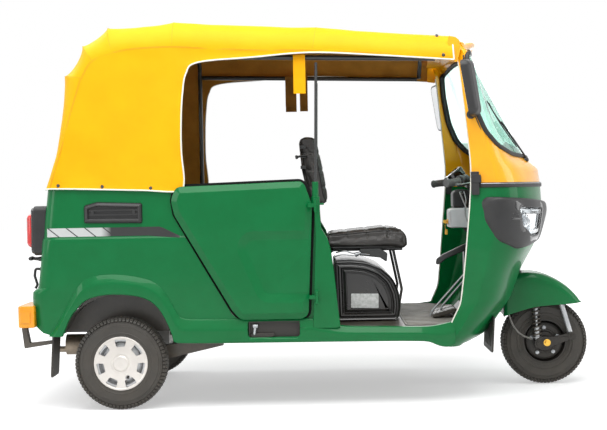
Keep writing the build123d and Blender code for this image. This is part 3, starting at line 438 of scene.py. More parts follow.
# What is cut out of it: the arches, the aperture for the door and the entrance opposite, the
# hatch, and the bottom edge, which is higher behind the wheel.
ARCH = [(-290, 250), (-262, 335), (-222, 420), (-174, 488), (-100, 524), (0, 532), (90, 522), (165, 480),
        (212, 420), (240, 350), (252, 250)]
APERTURE = [(262, 1100), (870, 1100), (870, 250), (640, 250), (552, 250), (543, 384), (500, 420),
            (244, 864), (233, 930), (250, 1006)]
cut(tub, prism(ARCH), prism(outline(APERTURE, [2, 2, 2, 2, 2, 20, 30, 40, 40, 2])),
    prism([(-500, 200), (-200, 200), (-200, 336), (-300, 336), (-345, 350), (-378, 376), (-396, 402),
           (-500, 408)]), prism(box(230, 200, 600, 296)))
hatch_hole = outline(box(-381, 461, 381, 939), 34)
cut(tub, straight(hatch_hole, -500, -300, lengthways))
settle(tub, 30)

# Wheel arch flares.  Each is a pressing welded over the arch: a broad bevel down from the tub's
# side, a flat face around the wheel, and a rolled lip.  It runs on as the sill's face.
# Each station: outer edge (x, z), opening edge (x, z).
FLARE = (((-318, 335), (-256, 334)), ((-291, 368), (-243, 365)), ((-255, 432), (-217, 420)),
         ((-224, 487), (-188, 457)), ((-190, 545), (-161, 485)), ((-165, 576), (-124, 504)),
         ((-128, 596), (-82, 514)), ((-84, 604), (-36, 518)), ((-35, 607), (10, 517)),
         ((40, 601), (58, 512)), ((96, 590), (100, 503)), ((146, 574), (138, 486)),
         ((187, 543), (168, 460)), ((220, 494), (192, 426)), ((247, 444), (214, 382)),
         ((266, 414), (232, 336)), ((296, 402), (244, 302)), ((340, 399), (300, 296)),
         ((430, 398), (430, 294)), ((640, 396), (640, 293)), ((855, 394), (855, 292)),
         ((900, 378), (900, 292)), ((1004, 357), (1004, 291)), ((1180, 352), (1180, 290)),
         ((1300, 349), (1300, 288)), ((1372, 347), (1372, 282)), ((1420, 350), (1420, 262)),
         ((1462, 356), (1462, 254)), ((1496, 362), (1496, 262)))


def smooth_line(points, steps=4, closed=False):
    """More points on a smooth curve through the given ones."""
    places = [Vector(p) for p in points]
    count = len(places)
    found = []
    for i in range(count if closed else count - 1):
        if closed:
            a, b, c, d = (places[(i + k) % count] for k in (-1, 0, 1, 2))
        else:
            a, b, c, d = places[max(0, i - 1)], places[i], places[i + 1], places[min(count - 1, i + 2)]
        for k in range(steps):
            t = k / steps
            found.append(0.5 * (2 * b + (c - a) * t + (2 * a - 5 * b + 4 * c - d) * t * t
                                + (3 * b - a - 3 * c + d) * t * t * t))
    return found if closed else found + [places[-1]]


# share of the way from outer to opening edge, distance from the centre line
FLARE_SECTION = ((-0.04, 606), (-0.02, 622), (0.0, 625), (0.03, 627.5), (0.36, 641), (0.42, 642.6),
                 (0.5, 643.2), (0.9, 643), (0.965, 642), (1.0, 639), (1.012, 634), (1.0, 612), (0.96, 606))
outer_line = smooth_line([a for a, b in FLARE], 3)
opening_line = smooth_line([b for a, b in FLARE], 3)
for side, name in ((-1, "right"), (1, "left")):
    shape = bmesh.new()
    rows = []
    for a, b in zip(outer_line, opening_line):
        # the sill tucks in under the apron at its front
        tuck = 74 * max(0.0, (a.x - 1290) / 206) ** 1.6
        line = [(a + (b - a) * share, y - tuck) for share, y in FLARE_SECTION]
        rows.append([spot(p.x, side * y, p.y) for p, y in line])
    skin(shape, rows, ends=True)
    flare = piece(f"arch_flare_and_sill_{name}", shape, green_enamel, "body",
                  ("sills",) if side < 0 else (), smooth=28)
    if side < 0:
        # the step-hole under the door
        mouth = outline([(570, 316), (802, 316), (802, 380), (570, 384)], [16, 16, 6, 6])
        cut(flare, straight(mouth, -660, -616, sideways))
        settle(flare, 28)

# ---------------------------------------------------------------------------------------------
# Passenger door.  Two pressings hemmed together, bevelled all round, with a broad C-shaped panel
# sunk in its front half.  It hangs from two pin hinges on the pillar in front of it.
DOOR_EDGE = [(262, 990), (828, 1006), (866, 899), (841, 395), (540, 395), (503, 436), (252, 867),
             (239, 933)]
DOOR_RADII = [34, 34, 60, 40, 46, 60, 120, 60]
levels = tiers(DOOR_EDGE, DOOR_RADII, ((40, -616), (3, -616), (0, -618.5), (0, -636), (1.2, -638.5),
                                       (26, -653.2), (28.5, -654.2), (32, -654.8), (60, -655)))
shape = stack(levels, sideways)
door = piece("door_pressing", shape, green_enamel, "door_right", ("door_right",))
PANEL = [(940, 471), (940, 788), (494, 788), (628, 471)]
PANEL_RADII = [4, 4, 74, 70]
recess = tiers(PANEL, PANEL_RADII, ((-6, -664), (-3, -655.6), (0, -654.6), (3, -653.6), (34, -644.6),
                                    (38, -643.9), (44, -643.6)), 10)
cut(door, stack(recess, sideways))
settle(door, 24)
# a black rubber seal on the body closes the gap round it
seal_rubber = surface("door_seal_rubber", "#141515", "#1C1D1D", 0.8, grain=2.0, depth=0.1, patch=40,
                      specular=0.2)
rows = [[spot(x, y, z) for x, z in outline(DOOR_EDGE, DOOR_RADII, inset, 8)] for inset, y in (
    (-11, -613), (-11, -607), (14, -607), (14, -613), (-11, -613))]
shape = bmesh.new()
skin(shape, rows)
piece("door_seal", shape, seal_rubber, "body", smooth=40)


def bend_path(points, radius, steps=7):
    """A path of straight runs with its corners rounded to a radius."""
    places = [Vector(p) for p in points]
    found = [places[0]]
    for before, here, after in zip(places, places[1:], places[2:]):
        back, on = (before - here).normalized(), (after - here).normalized()
        half = math.acos(max(-1, min(1, back.dot(on)))) / 2
        reach = min(radius / math.tan(half), 0.45 * (before - here).length, 0.45 * (after - here).length)
        start, end = here + back * reach, here + on * reach
        for k in range(steps + 1):
            t = k / steps
            found.append(start * (1 - t) ** 2 + here * 2 * t * (1 - t) + end * t * t)
    return found + [places[-1]]


def pipe(shape, path, radius, sides=12, closed=False, squash=1.0):
    """A round bar along a path, added to a shape.  The radius may differ from point to point."""
    places = [Vector(p) for p in path]
    count = len(places)
    radii = radius if hasattr(radius, "__len__") else [radius] * count
    frame_side = None
    rows = []
    for i, place in enumerate(places):
        before = places[i - 1] if i or closed else place
        after = places[(i + 1) % count] if i < count - 1 or closed else place
        along = (after - before).normalized()
        if frame_side is None:
            frame_side = along.cross(Vector((0, 0, 1)) if abs(along.z) < 0.9
                                     else Vector((1, 0, 0))).normalized()
        frame_side = (frame_side - along * frame_side.dot(along)).normalized()
        other = along.cross(frame_side)
        rows.append([place + (frame_side * math.cos(a) + other * math.sin(a) * squash) * radii[i] / 1000
                     for a in (2 * math.pi * k / sides for k in range(sides))])
    if closed:
        rows.append(rows[0])
    skin(shape, rows, ends=not closed)
    return shape


def bars(name, runs, radius, material, body, replaces=(), sides=12):
    """A piece made of round bars."""
    shape = bmesh.new()
    for run in runs:
        pipe(shape, [spot(*p) for p in run], radius, sides)
    return piece(name, shape, material, body, replaces, smooth=45)


def lathe(profile, middle, axis, turns=32, shape=None, ends=True):
    """A turned shape from (distance along the axis, radius) pairs; it may be added to another."""
    along = Vector(axis).normalized()
    side = along.cross(Vector((0, 0, 1)) if abs(along.z) < 0.9 else Vector((1, 0, 0))).normalized()
    other = along.cross(side)
    shape = shape or bmesh.new()
    rows = []
    for h, radius in profile:
        rows.append([Vector(middle) + along * h / 1000
                     + (side * math.cos(a) + other * math.sin(a)) * max(radius, 0.01) / 1000
                     for a in (2 * math.pi * k / turns for k in range(turns))])
    skin(shape, rows, ends=ends)
    return shape


def add(shape, part):
    """Put a finished part into a shape that is still growing."""
    mesh = bpy.data.meshes.new("part")
    part.to_mesh(mesh)
    part.free()
    shape.from_mesh(mesh)
    bpy.data.meshes.remove(mesh)
    return shape


def slab(shape, points, low, high, place, soft=3.0, radii=2.0, arc=4):
    """A flat-topped body with rounded upper and lower edges, added to a shape."""
    step = soft if high > low else -soft
    steps = ((soft, low), (soft * 0.3, low + step * 0.3), (0, low + step), (0, high - step),
             (soft * 0.3, high - step * 0.3), (soft, high))
    return add(shape, stack(tiers(points, radii, steps, arc), place))


# The pillar that the door hangs from is a pressed channel, broad at its foot, with a socket at
# its head for the hood's bar.  The hinges are rolled knuckles on short leaves.
bare_steel = surface("zinc_plated_steel", "#ADB0B2", "#989B9F", 0.34, metal=1.0, grain=1.2, depth=0.03)
shape = bmesh.new()
PILLAR = [(860, 352), (984, 352), (977, 400), (967, 500), (957, 610), (945, 700), (931, 752), (904, 797),
          (900, 860), (900, 902), (874, 902), (878, 760)]
for side in (-1, 1):
    slab(shape, PILLAR, side * 606, side * 643, sideways, 5,
         [12, 16, 60, 90, 120, 70, 24, 24, 30, 10, 10, 60])
    slab(shape, [(832, 352), (884, 352), (884, 896), (846, 896)], side * 578, side * 611, sideways, 2, 6)
    slab(shape, box(858, 899, 918, 907), side * 598, side * 640, sideways, 2, 2)
    lathe([(0, 17), (1, 19), (30, 19), (31, 15), (95, 14), (97, 12)], spot(881, side * 622, 905), (0, 0, 1),
          24, shape)
piece("door_pillar_pressings", shape, green_enamel, "body", ("door_pillars",))
shape = bmesh.new()
for z in (898, 492):
    lathe([(-30, 5.5), (-29, 7), (-11, 7), (-10, 6), (10, 6), (11, 7), (29, 7), (30, 5.5)],
          spot(880, -664, z), (0, 0, 1), 20, shape)
    slab(shape, box(846, z - 9, 880, z + 9), -652, -664, sideways, 1.5, 3)
piece("door_hinge_knuckles", shape, green_enamel, "door_right")

# ---------------------------------------------------------------------------------------------
# Engine hatch.  Its skin follows the tub's back, with a pressed border, a flat field for a number
# plate and two columns of louvres.  It hangs from two hinges along its top.


def rear_at(z):
    """Where the tub's back stands at a height."""
    return blend_rows(TUB_SHAPE, z)[1]


def swell(value, edge, soft):
    """0 outside an edge, 1 inside it, with a smooth slope between."""
    t = max(0.0, min(1.0, (edge - value) / soft))
    return t * t * (3 - 2 * t)


def hatch_relief(y, z):
    """Millimetres by which the hatch's skin stands out."""
    field = swell(abs(y), 268, 22) * swell(abs(z - 790), 96, 22)
    lower = swell(abs(y), 316, 22) * swell(abs(z - 610), 56, 20)
    return 6 - 7 * field - 5 * lower


across = [-386 + 772 * k / 110 for k in range(111)]
upward = [456 + 488 * k / 78 for k in range(79)]
rows = [[spot(rear_at(z) - hatch_relief(y, z), y, z) for y in across] for z in upward]
rows += [[spot(rear_at(z) + 10, y, z) for y in across] for z in upward[::-1]]
hatch = piece("hatch_skin", thin_shell(rows), green_enamel, "rear_hatch", ("rear_hatch",))
edge = outline(box(-375, 467, 375, 933), 30)
cut(hatch, straight(edge, -600, -200, lengthways), operation="INTERSECT")
settle(hatch, 30)

black_plastic = surface("moulded_black_plastic", "#1A1A1B", "#222222", 0.46, grain=1.4, depth=0.05,
                        dirt=0.2)
gloss_plastic = surface("gloss_black_plastic", "#101112", "#161718", 0.16, coat=0.6, grain=3.0, depth=0.003,
                        spread=0.02)
shape = bmesh.new()
for column in (-1, 1):
    for k in range(4):
        z = 578 + 21 * k
        rows = []
        for y in [column * 165 - 118 + 236 * i / 24 for i in range(25)]:
            lift = max(0.0, 1 - ((y - column * 165) / 118) ** 8)
            rows.append([spot(rear_at(z + dz) - 0.5 - out * lift, y, z + dz)
                         for out, dz in ((0, 0), (9, -1), (11, 1), (8, 7), (2, 14), (-2, 15), (-2, 0))])
        skin(shape, rows, ends=True)
piece("hatch_louvres", shape, green_enamel, "rear_hatch")
shape = bmesh.new()
for y in (-250, 250):
    lathe([(-32, 4), (-31, 6), (31, 6), (32, 4)], spot(-368, y, 934), (0, 1, 0), 20, shape)
    slab(shape, box(y - 26, 905, y + 26, 936), -372, -337, lengthways, 2, 4)
piece("hatch_hinges", shape, black_enamel, "rear_hatch")
shape = bmesh.new()
slab(shape, box(-240, 716, 240, 850), -352, -360, lengthways, 2, 10)
plate_film = surface("white_plate_film", "#F0F1EE", "#F0F1EC", 0.35, grain=2.0, depth=0.01)
piece("number_plate_blank", shape, plate_film, "rear_hatch")

# Latches: a black T-handle on the tub's back corner, with a sprung hook below it.
shape = bmesh.new()
for side in (-1, 1):
    at = side * 520
    lathe([(0, 15), (4, 16), (14, 12), (30, 8), (48, 7), (50, 6)], spot(-352, at, 676), (-1, 0, 0.06), 20,
          shape)
    lathe([(-34, 5), (-32, 8), (-12, 9.5), (12, 9.5), (32, 8), (34, 5)], spot(-410, at, 680), (0, 1, 0), 20,
          shape)
    slab(shape, box(at - 16, 586, at + 16, 642), -356, -370, lengthways, 2, 6)
    pipe(shape, bend_path([spot(-366, at, 630), spot(-394, at, 634), spot(-398, at, 600),
                           spot(-386, at, 560), spot(-396, at, 544)], 0.012), 6, 10)
piece("latch_handles", shape, black_plastic, "body", smooth=50)
# the hatch's own quarter-turn latches, each a screwed plate with a T-shaped knob
shape = bmesh.new()
for middle in (-250, 250):
    slab(shape, box(middle - 24, 486, middle + 24, 538), -402, -412, lengthways, 2, 8)
    lathe([(0, 13), (3, 14), (8, 10), (22, 8), (24, 6)], spot(-411, middle, 512), (-1, 0, 0), 20, shape)
    slab(shape, box(middle - 7, 490, middle + 7, 534), -430, -442, lengthways, 3, 6)
    for y in (middle - 17, middle + 17):
        lathe([(0, 4.5), (2, 4.5), (3, 3)], spot(-411, y, 512), (-1, 0, 0), 12, shape)
piece("hatch_knobs", shape, black_plastic, "rear_hatch", ("hatch_latches",), smooth=50)

# Tail lamps: an upright black housing with a glossy rim and a domed red lens.
red_lens = surface("red_acrylic_lens", "#E91B16", "#CC1411", 0.12, coat=0.8, grain=4.0, depth=0.02,
                   spread=0.02)
LAMP = [(-58, 0), (-50, 222), (50, 222), (58, 0)]
for side, name in ((-1, "right"), (1, "left")):
    middle = side * 505
    lamp_at = lambda y, z, x: spot(x, middle + side * y, 694 + z)
    levels = tiers(LAMP, 26, ((4, -330), (0, -334), (0, -386), (2, -391), (7, -393)))
    piece(f"tail_lamp_housing_{name}", stack(levels, lamp_at), black_plastic, "body",
          ("tail_lamps",) if side < 0 else ())
    levels = tiers(LAMP, 26, ((9, -388), (8, -398), (11, -403), (18, -406)))
    piece(f"tail_lamp_rim_{name}", stack(levels, lamp_at), gloss_plastic, "body")
    inner = [(-40, 34), (-36, 188), (36, 188), (40, 34)]
    levels = tiers(inner, 22, ((0, -400), (0, -409), (3, -416), (9, -423), (18, -428), (28, -431)))
    piece(f"tail_lamp_lens_{name}", stack(levels, lamp_at, rings=(1, 3)), red_lens, "body")

# Side vents: a shallow black scoop on two bolts, with three slats behind its mouth.
shape = bmesh.new()
for side in (-1, 1):
    scoop = [(-150, 836), (110, 832), (110, 922), (-92, 930), (-150, 915)]
    levels = [(outline(scoop, [10, 10, 10, 16, 12], i), side * y) for i, y in (
        (0, 616), (0, 622), (3, 629), (9, 634), (14, 636), (18, 634), (20, 624))]
    add(shape, stack(levels, sideways))
    for z in (848, 868, 888):
        slab(shape, box(-128, z, 94, z + 9), side * 620, side * 631, sideways, 1.5, 2)
    for x in (-112, 72):
        lathe([(0, 9), (5, 9), (6, 7), (6.2, 0)], spot(x, side * 626, 882), (0, side, 0), 6, shape)
piece("side_vent_scoops", shape, black_plastic, "body", ("side_vents",))

# Bumper.  Amber corner mouldings, ribbed, on black steel brackets bolted up under the tub.
orange_plastic = surface("amber_bumper_moulding", "#F5A30A", "#E8960A", 0.3, coat=0.3, grain=2.0,
                         depth=0.02)
shape = bmesh.new()
for side in (-1, 1):
    END = [(-459, 600), (-452, 628), (-380, 634), (-376, 500), (-400, 360), (-440, 352), (-459, 380)]
    slab(shape, [(x, side * y) for x, y in END], 374, 472, spot, 7, [26, 20, 8, 10, 30, 20, 26])
    for k in range(3):
        slab(shape, [(-461, side * (400 + 66 * k)), (-461, side * (452 + 66 * k)),
                     (-455, side * (452 + 66 * k)), (-455, side * (400 + 66 * k))], 396, 450, spot, 2, 1.5)
    slab(shape, [(-442, side * 626), (-398, side * 633), (-398, side * 637.5), (-442, side * 631)], 396,
         450, spot, 2, 1.5)
brackets = bmesh.new()
for side in (-1, 1):
    slab(brackets, [(-446, 380), (-424, 380), (-410, 304), (-300, 314), (-298, 300), (-434, 280)],
         side * 560, side * 600, sideways, 2, 4)
    pipe(brackets, [spot(-440, side * 360, 392), spot(-440, side * 606, 392)], 16, 12)
piece("bumper_brackets", brackets, black_enamel, "body", smooth=40)
piece("bumper_end_mouldings", shape, orange_plastic, "body", ("bumper_ends",))

# The stripe is a printed film: grey bars leaning back, parted by thin black lines, and a black
# tail.  It lies on the ledge of the tub's side.
film, tree = blank_material("striped_side_film")
place = node(tree, "ShaderNodeTexCoord").outputs["Object"]
axes = node(tree, "ShaderNodeSeparateXYZ", Vector=place)
lean = node(tree, "ShaderNodeMath", {"operation": "MULTIPLY_ADD"}, i0=axes.outputs["Z"], i1=1.25,
            i2=axes.outputs["X"])
bars_at = node(tree, "ShaderNodeMath", {"operation": "MULTIPLY"}, i0=lean.outputs[0], i1=1000 / 82)
share = node(tree, "ShaderNodeMath", {"operation": "FRACT"}, i0=bars_at.outputs[0])
bar = node(tree, "ShaderNodeMath", {"operation": "GREATER_THAN"}, i0=share.outputs[0], i1=0.09)
fade = node(tree, "ShaderNodeMapRange", i0=axes.outputs["X"], i1=spot(-75, 0, 0).x, i2=spot(-30, 0, 0).x,
            i3=1.0, i4=0.0)
grey = node(tree, "ShaderNodeMath", {"operation": "MULTIPLY"}, i0=bar.outputs[0], i1=fade.outputs[0])
ink = node(tree, "ShaderNodeMix", {"data_type": "RGBA"}, i0=grey.outputs[0], i6=colour("#1A1B1B"),
           i7=colour("#C6C9C8"))
fleck = node(tree, "ShaderNodeTexNoise", Vector=place, Scale=900.0)
bump = node(tree, "ShaderNodeBump", Strength=0.4, Distance=0.00008, Height=fleck.outputs["Fac"])
finish(tree, Base_Color=ink.outputs[2], Roughness=0.3, Coat_Weight=0.4, Normal=bump.outputs[0])
shape = bmesh.new()
for side in (-1, 1):
    rows = []
    for k in range(41):
        x = -316 + 590 * k / 40
        low = 777 + max(0, x - 130) * -0.08
        high = 816 if x < 190 else 816 - (x - 190) * 0.5
        high = max(high, low + 1.5)
        half = [blend_rows(TUB_SHAPE, z)[0] for z in (low, high)]
        rows.append([spot(x, side * (half[0] + 0.4), low), spot(x, side * (half[0] + 0.9), low + 0.3),
                     spot(x, side * (half[1] + 0.9), high - 0.3), spot(x, side * (half[1] + 0.4), high)])
    skin(shape, rows, ends=True)
piece("side_stripe_film", shape, film, "body")

# ---------------------------------------------------------------------------------------------
# Hood.  One cover of coated canvas, sewn from a flat panel for each side and a long one that runs
# up the back and forward over the hoops.  It creases over each hoop and sags a little between
# them.  Its edges are bound in white piping and its hem is held by press studs.
canvas, tree = blank_material("yellow_coated_canvas")
place = node(tree, "ShaderNodeTexCoord").outputs["Object"]
drift = node(tree, "ShaderNodeTexNoise", Vector=place, Scale=5.0, Detail=5.0, Roughness=0.6)
tone = node(tree, "ShaderNodeMapRange", i0=drift.outputs["Fac"], i1=0.35, i2=0.68)
hue = node(tree, "ShaderNodeMix", {"data_type": "RGBA"}, i0=tone.outputs[0], i6=colour("#FFB700"),
           i7=colour("#FAAF00"))
warp = node(tree, "ShaderNodeTexWave", {"bands_direction": "X"}, Vector=place, Scale=260.0)
weft = node(tree, "ShaderNodeTexWave", {"bands_direction": "Z"}, Vector=place, Scale=260.0)
threads = node(tree, "ShaderNodeMath", {"operation": "MULTIPLY"}, i0=warp.outputs["Fac"],
               i1=weft.outputs["Fac"])
crumple = node(tree, "ShaderNodeTexNoise", Vector=place, Scale=26.0, Detail=4.0, Roughness=0.55)
bump = node(tree, "ShaderNodeBump", Strength=0.5, Distance=0.00015, Height=threads.outputs[0])
bump = node(tree, "ShaderNodeBump", Strength=0.6, Distance=0.0014, Height=crumple.outputs["Fac"],
            Normal=bump.outputs[0])
finish(tree, Base_Color=hue.outputs[2], Roughness=0.55, Sheen_Weight=0.03, Specular_IOR_Level=0.2,
       Normal=bump.outputs[0])
# the cover's inside: a tan backing coloured darker than the yellow face, partly the backing's own colour
# and partly painted shade for the hood's shaded inside
tan_backing_and_painted_shade = surface("tan_canvas_backing", "#CE8C2E", "#B87B24", 0.85, grain=1.3, depth=0.08, sheen=0.2)
white_piping = surface("white_piping", "#F1EFE6", "#F1EEE0", 0.5, grain=1.5, depth=0.05)
thread = surface("brown_thread", "#BC9642", "#A48136", 0.7, grain=0.6, depth=0.1)

# Each station of the cover, from the hem at the back to its front edge: the long panel's edge,
# the seam, and the side panel's free edge, each as (x, z, half width).
STATIONS = (
    ((-328, 990, 556), (-299, 992, 622), (-297, 992, 623.5)),
    ((-302, 1070, 545), (-278, 1062, 619), (-200, 990, 624)),
    ((-273, 1179, 530), (-242, 1177, 612), (-60, 985, 624.5)),
    ((-254, 1328, 515), (-203, 1325, 604), (120, 978, 625)),
    ((-245, 1440, 505), (-172, 1425, 597), (268, 971, 626)),
    ((-244, 1500, 500), (-152, 1482, 594), (299, 1010, 625)),
    ((-162, 1637, 490), (-103, 1557, 590), (289, 1150, 616)),
    ((-47, 1718, 482), (-16, 1593, 588), (290, 1290, 609)),
    ((100, 1727, 480), (100, 1610, 588), (297, 1400, 602)),
    ((254, 1737, 480), (253, 1614, 588), (314, 1494, 597)),
    ((400, 1731, 480), (420, 1603, 589), (368, 1544, 593)),
    ((650, 1717, 480), (655, 1591, 590), (612, 1562, 592)),
    ((898, 1702, 480), (878, 1586, 591), (875, 1578, 592)),
    ((1200, 1678, 478), (1200, 1566, 591), (1190, 1559, 592)),
    ((1504, 1651, 474), (1507, 1543, 590), (1509, 1534, 590)),
)
# the creased stations with both ends, the sag that follows each, and the rows from one station on
CREASES = (0, 5, 6, 7, 9, 12, 14)
SAG = {5: 18, 6: 11, 7: 9, 9: 5, 12: 5}
STEPS = 8
crown_line = []
for low, high in zip(CREASES, CREASES[1:]):
    run = smooth_line([STATIONS[i][0] for i in range(low, high + 1)], STEPS)
    dip = SAG.get(low, 0)
    chord = Vector((run[-1].x - run[0].x, run[-1].y - run[0].y)).normalized()
    for i, p in enumerate(run[:-1]):
        t = i / (len(run) - 1)
        depth = dip * 4 * t * (1 - t)
        crown_line.append(Vector((p.x + chord.y * depth, p.y - chord.x * depth, p.z)))
crown_line.append(Vector(STATIONS[-1][0]))
seam_line = smooth_line([row[1] for row in STATIONS], STEPS)
edge_line = smooth_line([row[2] for row in STATIONS], STEPS)


def hood_row(i):
    """The right half of the cover's section at a station, from its free edge to the centre line."""
    crown, seam, edge = crown_line[i], seam_line[i], edge_line[i]
    before, after = crown_line[max(0, i - 1)], crown_line[min(len(crown_line) - 1, i + 1)]
    along = Vector((after.x - before.x, after.y - before.y)).normalized()
    out = Vector((-along.y, along.x))
    row = []
    for k in range(16):
        t = k / 16
        p = edge.lerp(seam, t)
        dip = 7 * math.sin(math.pi * t) * min(1, (seam - edge).length / 300)
        row.append(Vector((p.x, p.y, p.z - dip)))
    for k in range(12):
        a = math.pi / 2 * k / 12
        x = seam.x + (crown.x - seam.x) * math.sin(a)
        z = seam.y + (crown.y - seam.y) * math.sin(a)
        y = crown.z + (seam.z - crown.z) * math.cos(a)
        row.append(Vector((x, z, y)))
    for k in range(13):
        y = crown.z * (1 - k / 12)
        rise = 24 * (1 - (y / crown.z) ** 2)
        row.append(Vector((crown.x + out.x * rise, crown.y + out.y * rise, y)))
    return row


def ripple(p):
    """Small unevenness of hung canvas, in millimetres."""
    return 2.4 * noise.noise(p * 7.0) + 1.2 * noise.noise(p * 19.0)


shape = bmesh.new()
rows = []
for i in range(len(crown_line)):
    half = hood_row(i)
    row = [spot(p.x, -p.z, p.y) for p in half] + [spot(p.x, p.z, p.y) for p in half[-2::-1]]
    rows.append(row)
skin(shape, rows, closed=False)
bmesh.ops.remove_doubles(shape, verts=shape.verts, dist=2e-4)
bmesh.ops.recalc_face_normals(shape, faces=shape.faces)
shape.normal_update()
top = max(shape.faces, key=lambda face: face.calc_center_median().z)
if top.normal.z < 0:
    bmesh.ops.reverse_faces(shape, faces=shape.faces)
    shape.normal_update()
for corner in shape.verts:
    if not corner.is_boundary:
        corner.co += corner.normal * ripple(corner.co) / 1000
mesh = bpy.data.meshes.new("hood_cover")
shape.to_mesh(mesh)
shape.free()
hood = piece("hood_cover", mesh, (canvas, tan_backing_and_painted_shade), "body", ("hood",))
thicken = hood.modifiers.new("thickness", "SOLIDIFY")
# the inner face takes the darker tan, which is partly painted shade
thicken.thickness, thicken.offset, thicken.material_offset = 0.0022, -1, 1
thicken.use_even_offset = True
apply_all(hood)
WINDOW = [(-322, 1256), (322, 1256), (290, 1474), (-290, 1474)]
hole = outline(WINDOW, 40)
cut(hood, straight(hole, -420, -150, lengthways))
settle(hood, 40, False)

# The rear window is a clear vinyl sheet sewn into a hemmed frame.
clear_vinyl, tree = blank_material("clear_vinyl")
place = node(tree, "ShaderNodeTexCoord").outputs["Object"]
haze = node(tree, "ShaderNodeTexNoise", Vector=place, Scale=18.0, Detail=4.0)
cloud = node(tree, "ShaderNodeMapRange", i0=haze.outputs["Fac"], i1=0.3, i2=0.7, i3=0.04, i4=0.14)
bump = node(tree, "ShaderNodeBump", Strength=0.5, Distance=0.002, Height=haze.outputs["Fac"])
finish(tree, Base_Color=colour("#DDE4E2"), Roughness=cloud.outputs[0], IOR=1.2, Transmission_Weight=1.0,
       Normal=bump.outputs[0])


def back_wall(y, z, h):
    """A point on the hood's back, a distance out of it."""
    at = min(range(len(crown_line)), key=lambda i: abs(crown_line[i].y - z) if i < 5 * STEPS else 1e9)
    low, high = crown_line[max(0, at - 1)], crown_line[at + 1]
    t = (z - low.y) / (high.y - low.y)
    x = low.x + (high.x - low.x) * t
    return spot(x - 24 * (1 - (y / 515) ** 2) - h, y, z)


shape = stack([(outline(WINDOW, 40, -14), -4), (outline(WINDOW, 40, -14), -3)], back_wall, rings=(8, 8))
piece("rear_window_vinyl", shape, clear_vinyl, "body", ("rear_window",))
rim = [back_wall(y, z, 1.5) for y, z in outline(WINDOW, 40, -12, 8)]
shape = bmesh.new()
rows = []
for inset, h in ((-22, 0.2), (-21, 2.4), (-6, 2.8), (2, 1.6), (2, -2), (-22, -2)):
    rows.append([back_wall(y, z, h) for y, z in outline(WINDOW, 40, inset, 8)])
rows.append(rows[0])
skin(shape, rows)
piece("rear_window_hem", shape, canvas, "body", smooth=60)


# Parts set at even steps along a line: the line is a chain of edges, each part is turned to lie
# along it, and the result is one mesh.
def group(name, inputs):
    """A node group with a geometry input and output, and the inputs asked for."""
    made = bpy.data.node_groups.new(name, "GeometryNodeTree")
    for label, kind in (("Geometry", "Geometry"), *inputs):
        made.interface.new_socket(label, in_out="INPUT", socket_type="NodeSocket" + kind)
    made.interface.new_socket("Geometry", in_out="OUTPUT", socket_type="NodeSocketGeometry")
    return made, node(made, "NodeGroupInput").outputs


def grow(name, base, tree, settings, material, body, slot, move=None):
    """Run a node group on a mesh, and keep what it makes as a piece."""
    holder = bpy.data.objects.new(name + "_base", base)
    scene.collection.objects.link(holder)
    grower = holder.modifiers.new("grow", "NODES")
    keys = {item.name: item.identifier for item in tree.interface.items_tree if item.in_out == "INPUT"}
    grower.node_group = tree
    for label, value in {"Finish": material, **settings}.items():
        grower[keys[label]] = value
    bpy.context.view_layer.update()
    mesh = bpy.data.meshes.new_from_object(holder.evaluated_get(bpy.context.evaluated_depsgraph_get()))
    bpy.data.objects.remove(holder)
    if move:
        mesh.transform(move)
    mesh.materials.clear()
    return piece(name, mesh, material, body)


def master(name, shape):
    """A part that a node group sets out; it is not shown itself."""
    return bpy.data.objects.new(name, as_mesh(name, shape))


def set_out(tree, given, points, turned):
    """End a node group: a copy of the part on every point, turned, its size varied a little."""
    info = node(tree, "GeometryNodeObjectInfo", Object=given["Part"], As_Instance=True)
    smallest = node(tree, "ShaderNodeMath", {"operation": "SUBTRACT"}, i0=1.0, i1=given["Scatter"])
    size = node(tree, "FunctionNodeRandomValue", {"data_type": "FLOAT"}, i2=smallest.outputs[0], i3=1.0,
                Seed=given["Seed"])
    copies = node(tree, "GeometryNodeInstanceOnPoints", Points=points.outputs[0],
                  Instance=info.outputs["Geometry"], Rotation=turned.outputs[0], Scale=size.outputs[1])
    solid = node(tree, "GeometryNodeRealizeInstances", Geometry=copies.outputs[0])
    done = node(tree, "GeometryNodeSetMaterial", Geometry=solid.outputs[0], Material=given["Finish"])
    node(tree, "NodeGroupOutput", Geometry=done.outputs[0])


SHARED_INPUTS = (("Part", "Object"), ("Scatter", "Float"), ("Seed", "Int"), ("Finish", "Material"))
line_tree, given = group("parts_along_a_line", (*SHARED_INPUTS, ("Step", "Float")))
line = node(line_tree, "GeometryNodeMeshToCurve", Mesh=given["Geometry"])
steps = node(line_tree, "GeometryNodeResampleCurve", {"mode": "LENGTH"}, Curve=line.outputs[0],
             Length=given["Step"])
heading = node(line_tree, "GeometryNodeInputTangent")
turned = node(line_tree, "FunctionNodeAlignRotationToVector", {"axis": "X"}, Vector=heading.outputs[0])
set_out(line_tree, given, steps, turned)


def chain(paths):
    """Paths of points as chains of edges."""
    mesh = bpy.data.meshes.new("chain")
    places, edges = [], []
    for path in paths:
        edges += [(len(places) + i, len(places) + i + 1) for i in range(len(path) - 1)]
        places += [tuple(p) for p in path]
    mesh.from_pydata(places, edges, [])
    return mesh


